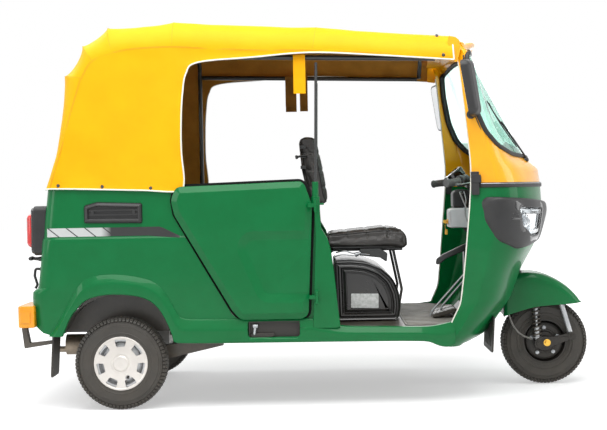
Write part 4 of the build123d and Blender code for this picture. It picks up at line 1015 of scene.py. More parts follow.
# Piping on every free edge, and the stitched seams.
edges = []
for side in (-1, 1):
    edges.append([spot(p.x, side * (p.z + 1), p.y) for p in edge_line[:5 * STEPS - 2]])
    edges.append([spot(p.x, side * (p.z + 1), p.y) for p in edge_line[5 * STEPS - 2:]])
back = hood_row(0)[16:]
edges.append([spot(p.x - 1, -p.z, p.y) for p in back] + [spot(p.x - 1, p.z, p.y) for p in back[-2::-1]])
front = hood_row(len(crown_line) - 1)
edges.append([spot(p.x + 1, -p.z, p.y) for p in front] + [spot(p.x + 1, p.z, p.y) for p in front[-2::-1]])
shape = bmesh.new()
for run in edges:
    run = [p for i, p in enumerate(run) if i == 0 or (p - run[i - 1]).length > 0.002]
    pipe(shape, run, 3.6, 10)
piece("hood_piping", shape, white_piping, "body", smooth=60)
stitch = master("stitch",
                pipe(bmesh.new(), [(-0.0024, 0, 0), (0, 0, 0.0003), (0.0024, 0, 0)], [0.4, 0.7, 0.4], 6))
seams = []
for side in (-1, 1):
    for shift in (0, 5):
        run = [spot(p.x - shift * 0.6, side * (p.z + 0.4 - shift * 0.1), p.y + shift * 0.8)
               for p in seam_line]
        seams.append(run)
for i in (5 * STEPS, 6 * STEPS, 7 * STEPS, 9 * STEPS, 12 * STEPS):
    half = hood_row(i)[17:]
    seams.append([spot(p.x, -p.z, p.y + 0.6) for p in half]
                 + [spot(p.x, p.z, p.y + 0.6) for p in half[-2::-1]])
grow("hood_stitches", chain(seams), line_tree, {"Part": stitch, "Step": 0.0065, "Scatter": 0.15, "Seed": 3},
     thread, "body", "yellow_paint")

# Press studs along the hem and on the front flap: a ring with a domed cap.
STUD = ((-2, 7.5), (0.6, 7.5), (1.2, 6), (1.4, 4.6), (2.6, 3.6), (3.2, 0.5))
shape = bmesh.new()
for side in (-1, 1):
    for x, z in ((-262, 1006), (-66, 998), (150, 988)):
        lathe(STUD, spot(x, side * 624.5, z), (0, side, 0), 16, shape)
    for x, z, y in ((1440, 1650, 522), (1462, 1556, 592)):
        lathe(STUD, spot(x, side * y, z), (0, side, 0.5 if z > 1600 else 0), 16, shape)
for y in (-420, -140, 140, 420):
    x = crown_line[1].x - 24 * (1 - (y / 548) ** 2)
    lathe([(-3, 7.5), (1.0, 7.5), (1.6, 6), (1.8, 4.6), (3.0, 3.6), (3.6, 0.5)],
          spot(x - 1, y, crown_line[1].y), (-1, 0, 0), 16, shape)
piece("hood_press_studs", shape, gloss_plastic, "body", smooth=40)

# Webbing straps, each doubled over a side rail, for rolling the hood's skirt up.
brown_webbing = surface("brown_webbing", "#AA7427", "#95631D", 0.85, grain=1.1, depth=0.12, sheen=0.2)
for name, x, width, side, drop, cloth in (("hood_strap_right", 819, 54, -1, 1398, canvas),
                                          ("hood_strap_left_rear", 757, 58, 1, 1386, brown_webbing),
                                          ("hood_strap_left_front", 825, 42, 1, 1388, brown_webbing)):
    path = bend_path([(0, -567, drop), (0, -565, 1470), (0, -566, 1566), (0, -558, 1582), (0, -542, 1582),
                      (0, -534, 1566), (0, -536, 1480), (0, -535, drop + 26)], 7)
    fine = smooth_line(path, 3)
    shape = bmesh.new()
    rows = []
    for i, p in enumerate(fine):
        before, after = fine[max(0, i - 1)], fine[min(len(fine) - 1, i + 1)]
        along = (after - before).normalized()
        out = Vector((0, -along.z, along.y)) * 0.9
        twist = 1.6 * math.sin(i * 0.35 + x)
        row = [(x + width * (k / 6 - 0.5), p.y + out.y + twist * (k / 6 - 0.5), p.z + out.z)
               for k in range(7)]
        row += [(x + width * (k / 6 - 0.5), p.y - out.y + twist * (k / 6 - 0.5), p.z - out.z)
                for k in range(6, -1, -1)]
        rows.append([spot(a, -side * b, c) for a, b, c in row])
    skin(shape, rows, ends=True)
    strap = piece(name, shape, cloth, "body", ("hood_straps",) if side < 0 else (),
                  smooth=50)

# ---------------------------------------------------------------------------------------------
# Nose.  The green apron and the yellow cowl over it are one smooth form: flat beside the driver,
# creased down each side, and bowed across the front.
# height, back edge, half width at the crease, crease, corner, half width there, tip; the
# distances are ahead of the front axle
APRON_SHAPE = ((246, -542, 520, -506, -430, 362, -352), (262, -551, 546, -504, -398, 388, -315),
               (292, -533, 570, -490, -356, 408, -270), (446, -461, 593, -392, -240, 420, -168),
               (581, -445, 609, -357, -196, 430, -117), (690, -435, 619, -328, -140, 438, -54),
               (850, -420, 624, -300, -108, 442, -12), (970, -410, 618, -296, -116, 434, -18))
COWL_SHAPE = ((970, -410, 618, -296, -116, 434, -18), (1050, -408, 611, -310, -138, 424, -26),
              (1098, -410, 607, -326, -186, 419, -84), (1300, -429, 597, -374, -286, 430, -192),
              (1509, -451, 581, -413, -366, 436, -309), (1640, -473, 556, -456, -424, 428, -372))


def section(table, z, soft=10):
    """The form's sizes at a height, with the table's bends eased."""
    low, high = table[0][0], table[-1][0]
    reads = [blend_rows(table, max(low, min(high, z + soft * k / 2))) for k in range(-2, 3)]
    return [sum(values) / 5 for values in zip(*reads)]


def nose_row(table, z, grow=0.0):
    """Half of the plan at a height, from the centre line to the back edge: 61 points."""
    edge, half, turn, corner_x, corner_y, tip = section(table, z)
    half, corner_x, corner_y, tip = half + grow, corner_x + 0.7 * grow, corner_y + 0.7 * grow, tip + grow
    bow = (corner_y ** 2 + (tip - corner_x) ** 2) / (2 * (tip - corner_x))
    sweep = math.asin(min(1, corner_y / bow))
    row = [(tip - bow + bow * math.cos(sweep * k / 24), bow * math.sin(sweep * k / 24)) for k in range(24)]
    a, d = Vector((corner_x, corner_y)), Vector((turn, half))
    onward = Vector((-math.sin(sweep), math.cos(sweep)))
    reach = (d - a).length
    b, c = a + onward * reach * 0.42, d + Vector((1, -0.26)).normalized() * reach * 0.36
    for k in range(25):
        t = k / 24
        p = a * (1 - t) ** 3 + 3 * b * t * (1 - t) ** 2 + 3 * c * t * t * (1 - t) + d * t ** 3
        row.append((p.x, p.y))
    for k in range(1, 13):
        t = k / 12
        row.append((turn + (edge - turn) * t, half - 22 * t))
    return row


def nose_shell(table, heights, outer, inner):
    """The form as a shell between two offsets, closed all round."""
    shape = bmesh.new()
    rows = []
    for z in heights:
        faces = []
        for grow in (outer, inner):
            half = nose_row(table, z, grow)
            faces.append([(x, -y) for x, y in half[::-1]] + [(x, y) for x, y in half[1:]])
        rows.append([spot(FRONT_AXLE + x, y, z) for x, y in faces[0] + faces[1][::-1]])
    ranks = skin(shape, rows)
    count = len(ranks[0]) // 2
    for rank in (ranks[0], ranks[-1]):
        for i in range(count - 1):
            shape.faces.new((rank[i], rank[i + 1], rank[-2 - i], rank[-1 - i]))
    return shape


def on_nose(s, z, out, table=None, side=-1):
    """A point on the form: so far round from the centre line, at a height, and so far out."""
    table = table or (APRON_SHAPE if z < 970 else COWL_SHAPE)
    row = nose_row(table, z, out)
    for (x0, y0), (x1, y1) in zip(row, row[1:]):
        step = math.hypot(x1 - x0, y1 - y0)
        if s <= step:
            break
        s -= step
    t = s / step
    return spot(FRONT_AXLE + x0 + (x1 - x0) * t, side * (y0 + (y1 - y0) * t), z)


def round_from(x, z, table=None):
    """How far round from the centre line the form is at a distance ahead of the front axle."""
    table = table or (APRON_SHAPE if z < 970 else COWL_SHAPE)
    row = nose_row(table, z)
    found = 0.0
    for (x0, y0), (x1, y1) in zip(row, row[1:]):
        step = math.hypot(x1 - x0, y1 - y0)
        if x1 <= x:
            return found + step * max(0.0, (x0 - x) / max(1e-6, x0 - x1))
        found += step
    return found


apron_heights = [246, 250, 256, 264, 274, 285, 292] + list(range(304, 970, 12)) + [970]
apron = piece("apron", nose_shell(APRON_SHAPE, apron_heights, 0, -4), green_enamel, "body",
              ("front_apron",), smooth=22)
arch = outline(box(-232, 200, 232, 606), [2, 2, 110, 110])
cut(apron, straight(arch, 1640, 2100, lengthways))
settle(apron, 22)

# The cowl is painted yellow, and the windscreen's opening wraps round its corners.
yellow_enamel = surface("yellow_enamel_on_pressed_steel", "#FFB600", "#FFAE00", 0.34, coat=0.6, grain=2.5,
                        depth=0.004, wave=0.2, spread=0.03, specular=0.3)
black_rubber = surface("black_moulded_rubber", "#1A1A1A", "#222222", 0.55, grain=1.6, depth=0.05, dirt=0.1)
SCREEN_EDGE = [(1566, 1556), (1574, 1450), (1600, 1312), (1640, 1215), (1700, 1146), (1780, 1112),
               (1905, 1100), (2100, 1096), (2100, 1604), (1700, 1600), (1600, 1596)]
screen_edge = outline(SCREEN_EDGE, [30, 200, 260, 160, 120, 120, 160, 2, 2, 60, 30], 0, 8)
cowl_heights = [970, 974] + list(range(982, 1640, 12)) + [1636, 1640]
cowl = piece("cowl_and_screen_frame", nose_shell(COWL_SHAPE, cowl_heights, 0, -5), yellow_enamel, "body",
             ("windscreen_frame",), smooth=22)
cut(cowl, prism(screen_edge))
settle(cowl, 22)


def inside(x, z, points):
    """Whether a point of the side view lies in an outline."""
    found = False
    for (x0, z0), (x1, z1) in zip(points, points[1:] + points[:1]):
        if (z0 > z) != (z1 > z) and x < x0 + (z - z0) * (x1 - x0) / (z1 - z0):
            found = not found
    return found


def screen_rim(out, side):
    """Half of the windscreen's edge, from the centre at the bottom to the centre at the top."""
    found = []
    for k in range(61):
        angle = math.radians(-90 + 3 * k)
        low, high = 0.0, 1.0
        for _ in range(14):
            mid = (low + high) / 2
            s, z = 900 * mid * math.cos(angle), 1350 + 280 * mid * math.sin(angle)
            p = on_nose(s, z, 0, COWL_SHAPE)
            if inside(p.x * 1000 - REAR_AXLE, z, screen_edge):
                low = mid
            else:
                high = mid
        found.append(on_nose(900 * low * math.cos(angle), 1350 + 280 * low * math.sin(angle), out,
                             COWL_SHAPE, side))
    return found


rim = screen_rim(1, -1) + screen_rim(1, 1)[-2:0:-1]
shape = bmesh.new()
pipe(shape, rim, 11, 12, closed=True)
pipe(shape, screen_rim(-9, -1) + screen_rim(-9, 1)[-2:0:-1], 9, 10, closed=True)
gasket = piece("windscreen_gasket", shape, black_rubber, "body", smooth=60)

glass, tree = blank_material("laminated_windscreen_glass")
place = node(tree, "ShaderNodeTexCoord").outputs["Object"]
smear = node(tree, "ShaderNodeTexNoise", Vector=place, Scale=9.0, Detail=5.0)
film_of_dust = node(tree, "ShaderNodeMapRange", i0=smear.outputs["Fac"], i1=0.4, i2=0.75, i3=0.0, i4=0.06)
finish(tree, Base_Color=colour("#BBD8CF"), Roughness=film_of_dust.outputs[0], IOR=1.02,
       Transmission_Weight=1.0, Coat_Weight=0.5, Coat_Roughness=0.02)
screen = piece("windscreen_glass",
               nose_shell(COWL_SHAPE, [1080] + list(range(1090, 1620, 10)) + [1620], -3, -7), glass, "body",
               ("windscreen",), smooth=60, flat_faces=False)
cut(screen, prism(screen_edge), operation="INTERSECT")
settle(screen, 60, False)


def band(name, low, high, start, end, out, material, table, body="body"):
    """A moulding that runs round the form between two heights."""
    shape = bmesh.new()
    rows = []
    for k in range(81):
        s = start + (end - start) * k / 80
        side = -1 if s >= 0 else 1
        rows.append([on_nose(abs(s), z, h, table, side) for z, h in (
            (low, -1), (low, out * 0.6), (low + 3, out), ((low + high) / 2, out * 1.15), (high - 3, out),
            (high, out * 0.6), (high, -1))])
    skin(shape, rows, ends=True)
    return piece(name, shape, material, body, smooth=50)


reach = round_from(-385, 975, COWL_SHAPE)
band("belt_rubber", 962, 984, -reach, reach, 7, black_rubber, COWL_SHAPE)
band("belt_bright_strip", 978, 981, -reach + 4, reach - 4, 8.4, bare_steel, COWL_SHAPE)

# Edge trims: white round the driver's opening, and black corner pieces at the belt.
shape = bmesh.new()
for side in (-1, 1):
    path = []
    for table, levels in ((APRON_SHAPE, range(300, 931, 35)), (COWL_SHAPE, range(975, 1546, 30))):
        for z in levels:
            x, y = nose_row(table, z)[-1]
            path.append(spot(FRONT_AXLE + x - 1, side * (y - 2), z))
    pipe(shape, smooth_line(path, 2), 3.4, 8)
piece("driver_opening_trim", shape, white_piping, "body", smooth=60)
shape = bmesh.new()
for side in (-1, 1):
    for low, high, wide, deep in ((930, 1034, 34, 9), (984, 1020, 42, 13)):
        corner = [(1576, low), (1576 + wide, low), (1574 + wide, high), (1573, high)]
        slab(shape, corner, side * 592, side * (612 + deep), sideways, 3, 5)
piece("belt_corner_pieces", shape, black_plastic, "body")

# The hood's front edge laps over a visor: a shallow lip pressed along the top of the frame.
shape = bmesh.new()
rows = []
for k in range(61):
    s = -560 + 1120 * k / 60
    side = -1 if s >= 0 else 1
    fade = 1 - (abs(s) / 560) ** 4
    line = [(1604, 0), (1602, 6), (1610, 20 * fade + 3), (1620, 34 * fade + 4), (1632, 44 * fade + 5),
            (1642, 44 * fade + 4), (1649, 32 * fade + 2), (1656, -30), (1640, -34), (1630, -6)]
    rows.append([on_nose(abs(s), min(1640, z), h, COWL_SHAPE, side)
                 + Vector((0, 0, max(0, z - 1640) / 1000)) for z, h in line])
skin(shape, rows, ends=True)
visor = piece("windscreen_visor", shape, yellow_enamel, "body", smooth=50)

# Roof cap between the frame's top and the hood's front edge.
top = nose_row(COWL_SHAPE, 1640, -6)
rows = []
for x_share, rise in ((0.0, 0), (0.15, 14), (0.4, 26), (0.7, 30), (1.0, 30)):
    row = []
    for k in range(41):
        y = -530 + 1060 * k / 40
        front_x = next((x0 for (x0, y0), (x1, y1) in zip(top, top[1:]) if y0 <= abs(y) <= y1), top[-1][0])
        row.append(spot(FRONT_AXLE + front_x + (1478 - FRONT_AXLE - front_x) * x_share, y,
                        1632 + rise * (1 - (y / 560) ** 4)))
    rows.append(row)
rows += [[p - Vector((0, 0, 0.004)) for p in row] for row in rows[::-1]]
cap = piece("roof_cap", thin_shell(rows), yellow_enamel, "body", smooth=50)
shape = bmesh.new()
for side in (-1, 1):
    lip = [(1484, 1530), (1526, 1524), (1540, 1580), (1536, 1622), (1520, 1636), (1486, 1644)]
    slab(shape, lip, side * 566, side * 574, sideways, 2.5, 6)
piece("windscreen_frame_side_lips", shape, yellow_enamel, "body", smooth=40)
# the top of the frame drops a little towards its corners
CORNER_DROP = 0.034
for made in (cowl, gasket, screen, visor, cap):
    for v in made.data.vertices:
        up_to = min(1, max(0, (v.co.z - 1.56) / 0.08))
        out_to = min(1, max(0, (abs(v.co.y) - 0.25) / 0.3))
        v.co.z -= CORNER_DROP * up_to * up_to * (3 - 2 * up_to) * out_to * out_to * (3 - 2 * out_to)

# ---------------------------------------------------------------------------------------------
# Headlamps.  A black moulded housing wraps each corner of the nose.  Its mouth has a thick rolled
# rim round a clear lens, with a silvered reflector behind it, split by an upright bar.
HOUSING = [(round_from(-376, 917), 923), (round_from(-30, 888), 892), (round_from(-24, 800), 792),
           (round_from(-70, 725), 716), (round_from(-210, 686), 684), (round_from(-300, 730), 726),
           (round_from(-356, 826), 822)]
HOUSING_RADII = [34, 34, 50, 60, 90, 120, 90]
LENS = [(round_from(-230, 870), 870), (round_from(-92, 862), 862), (round_from(-100, 746), 748),
        (round_from(-150, 742), 743), (round_from(-204, 790), 790)]
LENS_RADII = [12, 14, 22, 30, 40]
chrome = surface("silvered_reflector", "#EDEFF1", "#EDEFF1", 0.1, metal=1.0, grain=9.0, depth=0.05,
                 spread=0.03)
clear_lens, tree = blank_material("clear_polycarbonate_lens")
place = node(tree, "ShaderNodeTexCoord").outputs["Object"]
ribs = node(tree, "ShaderNodeTexWave", {"bands_direction": "Z"}, Vector=place, Scale=32.0)
bump = node(tree, "ShaderNodeBump", Strength=0.25, Distance=0.0006, Height=ribs.outputs["Fac"])
finish(tree, Base_Color=colour("#F4F8FA"), Roughness=0.03, IOR=1.45, Transmission_Weight=1.0,
       Normal=bump.outputs[0])


def ray_to(hub, angle, points):
    """How far it is from a hub to an outline round it, at a bearing."""
    dx, dz = math.cos(angle), math.sin(angle)
    found = 0.0
    for (x0, z0), (x1, z1) in zip(points, points[1:] + points[:1]):
        ex, ez = x1 - x0, z1 - z0
        cross = dx * ez - dz * ex
        if abs(cross) > 1e-9:
            far = ((x0 - hub[0]) * ez - (z0 - hub[1]) * ex) / cross
            along = ((x0 - hub[0]) * dz - (z0 - hub[1]) * dx) / cross
            if far > found and -1e-6 <= along <= 1 + 1e-6:
                found = far
    return found


for side, name in ((-1, "right"), (1, "left")):
    at = lambda s, z, h: on_nose(s, z, h, APRON_SHAPE, side)
    # rings of points at the same bearings from the lens's middle, from the outer edge to the mouth
    outer, inner = outline(HOUSING, HOUSING_RADII, 0, 10), outline(LENS, LENS_RADII, -3, 10)
    hub = (sum(p[0] for p in LENS) / 5, sum(p[1] for p in LENS) / 5)
    rings = []
    for k in range(120):
        a = 2 * math.pi * k / 120
        rings.append([ray_to(hub, a, edge) for edge in (outer, inner)])
    rows = []
    for share, h in ((0.0, -4), (0.0, 4), (0.015, 11), (0.05, 17), (0.12, 21), (0.24, 24), (0.38, 25),
                     (0.52, 25.5), (0.66, 26), (0.8, 26), (0.9, 26), (1.0, 25), (1.0, 8), (1.0, -6),
                     (0.75, -5), (0.5, -5), (0.25, -5)):
        rows.append([at(hub[0] + math.cos(2 * math.pi * k / 120) * (o + (i - o) * share),
                        hub[1] + math.sin(2 * math.pi * k / 120) * (o + (i - o) * share), h)
                     for k, (o, i) in enumerate(rings)])
    rows.append(rows[0])
    shape = bmesh.new()
    skin(shape, rows)
    piece(f"headlamp_housing_{name}", shape, black_plastic, "body",
          ("headlamp_housings",) if side < 0 else (), smooth=40, flat_faces=False)
    mouth = outline(LENS, LENS_RADII, -3, 6)
    cut(apron, stack([(mouth, h) for h in (-60, -30, 0, 30, 60)], at, rings=(1, 1)))
    shape = bmesh.new()
    rows = []
    for inset, h in ((-2, 8), (-2, 20), (-4, 24), (-9, 27), (-17, 28), (-26, 26.5), (-34, 23), (-34, 16),
                     (-20, 10)):
        rows.append([at(s, z, h) for s, z in outline(LENS, LENS_RADII, inset, 8)])
    rows.append(rows[0])
    skin(shape, rows)
    # the moulded eyelid and the vent slit beside the lens
    eye = round_from(-262, 850)
    for low, high in ((838, 842), (812, 823)):
        slit = [(eye - 62, low), (eye + 6, low + 5), (eye + 2, high + 4), (eye - 58, high)]
        levels = tiers(slit, 2.5, ((0, 22), (0, 27.5), (1, 28.5)), 3)
        add(shape, stack(levels, at, rings=(1, 4)))
    piece(f"headlamp_rim_{name}", shape, gloss_plastic, "body", smooth=50,
          flat_faces=False)
    levels = tiers(LENS, LENS_RADII,
                   ((34, -58), (12, -52), (-2, -30), (-2.5, 6), (1, 6), (3, -26), (15, -46), (36, -52)), 6)
    piece(f"headlamp_reflector_{name}", stack(levels, at, rings=(4, 4)), chrome, "body",
          smooth=30)
    shape = bmesh.new()
    middle = round_from(-150, 810)
    slab(shape, [(middle - 6, 742), (middle + 6, 742), (middle + 3, 866), (middle - 3, 866)], -30, 15, at,
         1.5, 1.5)
    piece(f"headlamp_divider_{name}", shape, bare_steel, "body")
    shape = bmesh.new()
    for s, z, size in ((middle + 46, 826, 24), (middle - 44, 800, 26)):
        base, tip_at = at(s, z, -40), at(s, z, 0)
        lathe([(-4, size * 0.5), (0, size), (4, size), (7, size * 0.7), (16, size * 0.36), (20, size * 0.3),
               (26, size * 0.16)], base, tip_at - base, 24, shape)
    piece(f"headlamp_bulb_shields_{name}", shape, chrome, "body", smooth=40)
    levels = tiers(LENS, LENS_RADII, ((-2, 15), (-2, 18), (2, 22), (10, 24.5), (24, 25.5), (26, 22.5),
                                      (11, 21.5), (3, 19), (1, 15)), 6)
    piece(f"headlamp_lens_{name}", stack(levels, at, rings=(6, 6)), clear_lens, "body",
          ("headlamp_lenses",) if side < 0 else (), smooth=50, flat_faces=False)
settle(apron, 22)

# Wiper: a pressed arm from a spindle in the cowl, and a rubber blade on a thin bridge.
shape = bmesh.new()
SPINDLE = (300, 1088)
arm = [on_nose(s, z, h, COWL_SHAPE)
       for s, z, h in ((*SPINDLE, 10), (318, 1120, 16), (372, 1190, 15), (420, 1262, 13))]
pipe(shape, smooth_line(arm, 4), 4.2, 8)
blade = [on_nose(s, z, 9, COWL_SHAPE)
         for s, z in ((330, 1160), (372, 1205), (414, 1252), (452, 1300), (486, 1345))]
pipe(shape, smooth_line(blade, 4), 2.2, 8)
blade = [on_nose(s, z, 3, COWL_SHAPE) for s, z in ((322, 1150), (410, 1247), (494, 1354))]
pipe(shape, smooth_line(blade, 8), 2.6, 8)
base = on_nose(*SPINDLE, 0, COWL_SHAPE)
lathe([(-6, 13), (3, 13), (5, 10), (13, 9), (16, 7)], base, on_nose(*SPINDLE, 20, COWL_SHAPE) - base, 20,
      shape)
piece("wiper_arm_and_blade", shape, black_plastic, "body", ("wiper",), smooth=45)

# Mirrors: a black shell on a bent arm, with the glass facing back and a little inwards.
mirror_glass = surface("mirror_glass", "#ECEFF1", "#EBEFF1", 0.05, metal=0.5, grain=30.0, depth=0.001,
                       spread=0.01)
FACE = [(-54, -130), (54, -122), (60, 118), (-60, 132)]
for side, name in ((-1, "right"), (1, "left")):
    middle = spot(1572, side * 702, 1402)
    turn = Matrix.Rotation(side * math.radians(20), 3, "Z") @ Matrix.Rotation(math.radians(-9), 3, "Y")
    at = lambda y, z, x: middle + turn @ Vector((x / 1000, side * y / 1000, z / 1000))
    levels = tiers(FACE, 30, ((6, -18), (0, -20), (-1, -12), (2, 2), (12, 14), (26, 20)), 7)
    shape = stack(levels, at, rings=(0, 5))
    elbow = at(-40, -96, 10)
    pipe(shape, bend_path([spot(1578, side * 606, 1288), spot(1590, side * 640, 1282),
                           spot(1598, side * 664, 1296), elbow, at(-10, 0, 8)], 0.03), 8, 12)
    lathe([(0, 20), (5, 20), (9, 12), (22, 10)], spot(1578, side * 600, 1288), (0.3, side, -0.1), 20, shape)
    piece(f"mirror_shell_{name}", shape, black_plastic, "body",
          ("mirrors",) if side < 0 else (), smooth=45)
    levels = tiers(FACE, 30, ((7, -17), (7, -21.5), (8, -22)), 7)
    piece(f"mirror_glass_{name}", stack(levels, at), mirror_glass, "body")

# ---------------------------------------------------------------------------------------------
# Front mudguard.  One deep pressing, crowned over the tyre, that steers with the wheel.
# station ahead of the front axle, foot, crown, half width
GUARD = ((-206, 330, 350, 104), (-203, 338, 430, 112), (-190, 344, 500, 118), (-166, 352, 541, 120),
         (-120, 366, 553, 121), (-60, 381, 553, 121), (0, 388, 539, 120), (60, 391, 511, 117),
         (110, 393, 477, 110), (148, 396, 440, 99), (168, 399, 413, 86), (175, 401, 405, 76))
guard_line = smooth_line([Vector((x, low, high)) for x, low, high, half in GUARD], 4)
guard_half = smooth_line([Vector((x, half)) for x, low, high, half in GUARD], 4)
shape = bmesh.new()
rows = []
for p, q in zip(guard_line, guard_half):
    low, high, half = p.y, p.z, q.y
    drop = min(46, (high - low) * 0.9)
    loop = []
    for t in (0, 2.6):
        side_line = [(half - t, low + (high - t - drop - low) * k / 6) for k in range(6)]
        bend = [(half - t - 34 * (1 - math.cos(a)), high - t - drop + (drop - 6) * math.sin(a))
                for a in (math.radians(15 * k) for k in range(7))]
        crown = [((half - t - 34) * (1 - k / 6), high - t - 6 * (1 - k / 6) ** 2) for k in range(1, 7)]
        half_loop = side_line + bend + crown
        loop.append([(-y, z) for y, z in half_loop] + [(y, z) for y, z in half_loop[-2::-1]])
    rows.append([spot(FRONT_AXLE + p.x, y, z) for y, z in loop[0] + loop[1][::-1]])
skin(shape, rows, ends=True)
piece("front_mudguard_pressing", shape, green_enamel, "steering", ("front_mudguard",),
      smooth=40, flat_faces=False)

# Fork and trailing links.  Bright tubes come down each side of the tyre to a pivot ahead of the
# axle; a forged link runs back from it to the axle, held up by a coil spring over a damper.
fork_silver = surface("silver_painted_tube", "#BCBEC0", "#A2A5A8", 0.35, metal=0.7, grain=1.8, depth=0.03,
                      dirt=0.1)
forged = surface("black_forged_steel", "#1B1C1D", "#272829", 0.42, metal=0.4, grain=2.2, depth=0.08,
                 dirt=0.1)
hose_rubber = surface("grey_hose_rubber", "#878480", "#74716C", 0.5, grain=1.4, depth=0.08)
brass = surface("brass_plated_nut", "#F1C35A", "#DAAB46", 0.3, metal=1.0, grain=1.5, depth=0.03)


def ahead(x, y, z):
    """A point measured from the floor under the front axle."""
    return spot(FRONT_AXLE + x, y, z)


shape = bmesh.new()
for side in (-1, 1):
    pipe(shape, bend_path([ahead(-134, side * 40, 560), ahead(-98, side * 76, 525),
                           ahead(60, side * 77, 440), ahead(80, side * 77, 380),
                           ahead(122, side * 77, 237)], 0.05, 6), 13, 16)
    lathe([(-18, 12), (-17, 17), (17, 17), (18, 12)], ahead(122, side * 77, 237), (0, 1, 0), 24, shape)
pipe(shape, [ahead(-134, -60, 566), ahead(-134, 60, 566)], 18, 16)
piece("fork_tubes", shape, fork_silver, "steering", ("fork",), smooth=40)
shape = bmesh.new()
for side in (-1, 1):
    LINK = [(138, 252), (104, 250), (30, 236), (-34, 236), (-60, 214), (-58, 186), (-30, 176), (14, 184),
            (110, 220), (140, 226)]
    slab(shape, LINK, side * 92, side * 104, lambda x, z, y: ahead(x, y, z), 2.5,
         [16, 30, 30, 20, 16, 16, 20, 40, 20, 14])
    lathe([(88, 17), (89, 20), (106, 20), (108, 17), (108, 9), (113, 9), (114, 7)], ahead(122, 0, 237),
          (0, side, 0), 24, shape)
    lathe([(70, 24), (88, 26), (106, 26), (108, 22)], ahead(0, 0, TYRE_R), (0, side, 0), 28, shape)
    lathe([(66, 9), (110, 9), (111, 7)], ahead(-41, 0, 205), (0, side, 0), 16, shape)
piece("trailing_link_arms", shape, forged, "steering", ("trailing_links",), smooth=35)
shape = bmesh.new()
for side in (-1, 1):
    low, high = Vector((-41, side * 79, 226)), Vector((-49, side * 79, 398))
    along = (high - low).normalized()
    across = Vector((1, 0, 0)) - along * along.x
    other = along.cross(across)
    coil = []
    turns, radius = 8.5, 19
    for k in range(int(turns * 20) + 1):
        a = 2 * math.pi * k / 20
        middle = low + (high - low) * (0.04 + 0.92 * k / (turns * 20))
        coil.append(ahead(*(middle + (across * math.cos(a) + other * math.sin(a)) * radius)))
    pipe(shape, coil, 3.6, 8)
piece("suspension_coils", shape, black_enamel, "steering", ("front_springs",), smooth=60)
shape = bmesh.new()
for side in (-1, 1):
    top, foot = ahead(-49, side * 79, 402), ahead(-41, side * 79, 208)
    lathe([(0, 10), (2, 22), (6, 22), (7, 12), (60, 12), (61, 6), (120, 6), (121, 13), (150, 13), (166, 13),
           (168, 22), (172, 22), (173, 12), (196, 11)], top, foot - top, 24, shape)
piece("damper_bodies", shape, fork_silver, "steering", smooth=35)
shape = bmesh.new()
for side in (-1, 1):
    lathe([(108, 15), (109, 17), (112, 17), (113, 15)], ahead(0, 0, TYRE_R), (0, side, 0), 24, shape)
    lathe([(112, 11), (113, 13), (122, 13), (124, 11)], ahead(0, 0, TYRE_R), (0, side, 0), 6, shape)
    lathe([(112, 7), (128, 7), (129, 5)], ahead(0, 0, TYRE_R), (0, side, 0), 16, shape)
piece("front_axle_nuts", shape, brass, "steering", smooth=30)


# Brake hose, from the apron's edge down to the drum's plate.
def hose_curve(name, route, thick):
    """A hose's centreline as a smooth spline through the space between its route's points."""
    curve = bpy.data.curves.new(name, "CURVE")
    curve.dimensions = "3D"
    line = curve.splines.new("NURBS")
    line.points.add(len(route) - 1)
    for point, place in zip(line.points, route):
        point.co = (*place, 1)
    line.use_endpoint_u, line.order_u = True, 3
    line.resolution_u = 16
    curve.bevel_depth, curve.bevel_resolution, curve.use_fill_caps = thick / 2000, 4, True
    made = bpy.data.objects.new(name, curve)
    scene.collection.objects.link(made)
    return made


HOSE_ROUTE = [ahead(x, y, TYRE_R + z) for x, y, z in ((-147, -70, 270), (-179, -92, 212), (-185, -104, 144),
                                                      (-163, -108, 82), (-123, -104, 34), (-73, -98, 18))]
hose = hose_curve("brake_hose_line", HOSE_ROUTE, 9)
hose.data.materials.append(hose_rubber)
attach(hose, "steering")
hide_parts("brake_hose")

# ---------------------------------------------------------------------------------------------
# Handlebar.  A bent black tube in a cast clamp, with a ribbed rubber grip at each end, a switch
# housing inside each grip and a silver lever ahead of it.
shape = bmesh.new()
half_bar = [(1641, 0, 985), (1640, 70, 990), (1622, 150, 1002), (1590, 232, 1000), (1548, 292, 992),
            (1494, 338, 986)]
run = [spot(x, -y, z) for x, y, z in half_bar[:0:-1]] + [spot(*p) for p in half_bar]
pipe(shape, bend_path(run, 0.06, 6), 12.5, 16)
lathe([(-46, 22), (-43, 28), (43, 28), (46, 22)], spot(1641, 0, 985), (0, 1, 0), 24, shape)
lathe([(-110, 18), (-108, 20), (-20, 20), (10, 26), (14, 22)], spot(1641, 0, 978), (-0.4226, 0, 0.9063), 24,
      shape)
for side in (-1, 1):
    inner = spot(1590, side * 232, 1000)
    outer = spot(1548, side * 292, 992)
    lathe([(-8, 19), (-5, 25), (26, 28), (30, 22), (38, 21), (40, 27), (60, 27), (64, 20)], inner,
          outer - inner, 24, shape)
piece("handlebar_tube", shape, black_enamel, "steering", ("handlebar",), smooth=40)
shape = bmesh.new()
for side in (-1, 1):
    inner, outer = spot(1553, side * 287, 993), spot(1487, side * 344, 985)
    length = (outer - inner).length * 1000
    profile = [(0, 14), (1, 20), (7, 20.5), (9, 16.5)]
    for k in range(12):
        at_h = 11 + k * (length - 22) / 12
        profile += [(at_h, 16.2), (at_h + 1, 17.4), (at_h + 4.4, 17.4), (at_h + 5.4, 16.2)]
    profile += [(length - 8, 16.4), (length - 6, 19.5), (length - 1, 19), (length, 15)]
    lathe(profile, inner, outer - inner, 24, shape)
grip_rubber = surface("grey_ribbed_grip_rubber", "#6F7070", "#5E5F5F", 0.6, grain=1.5, depth=0.1, patch=40)
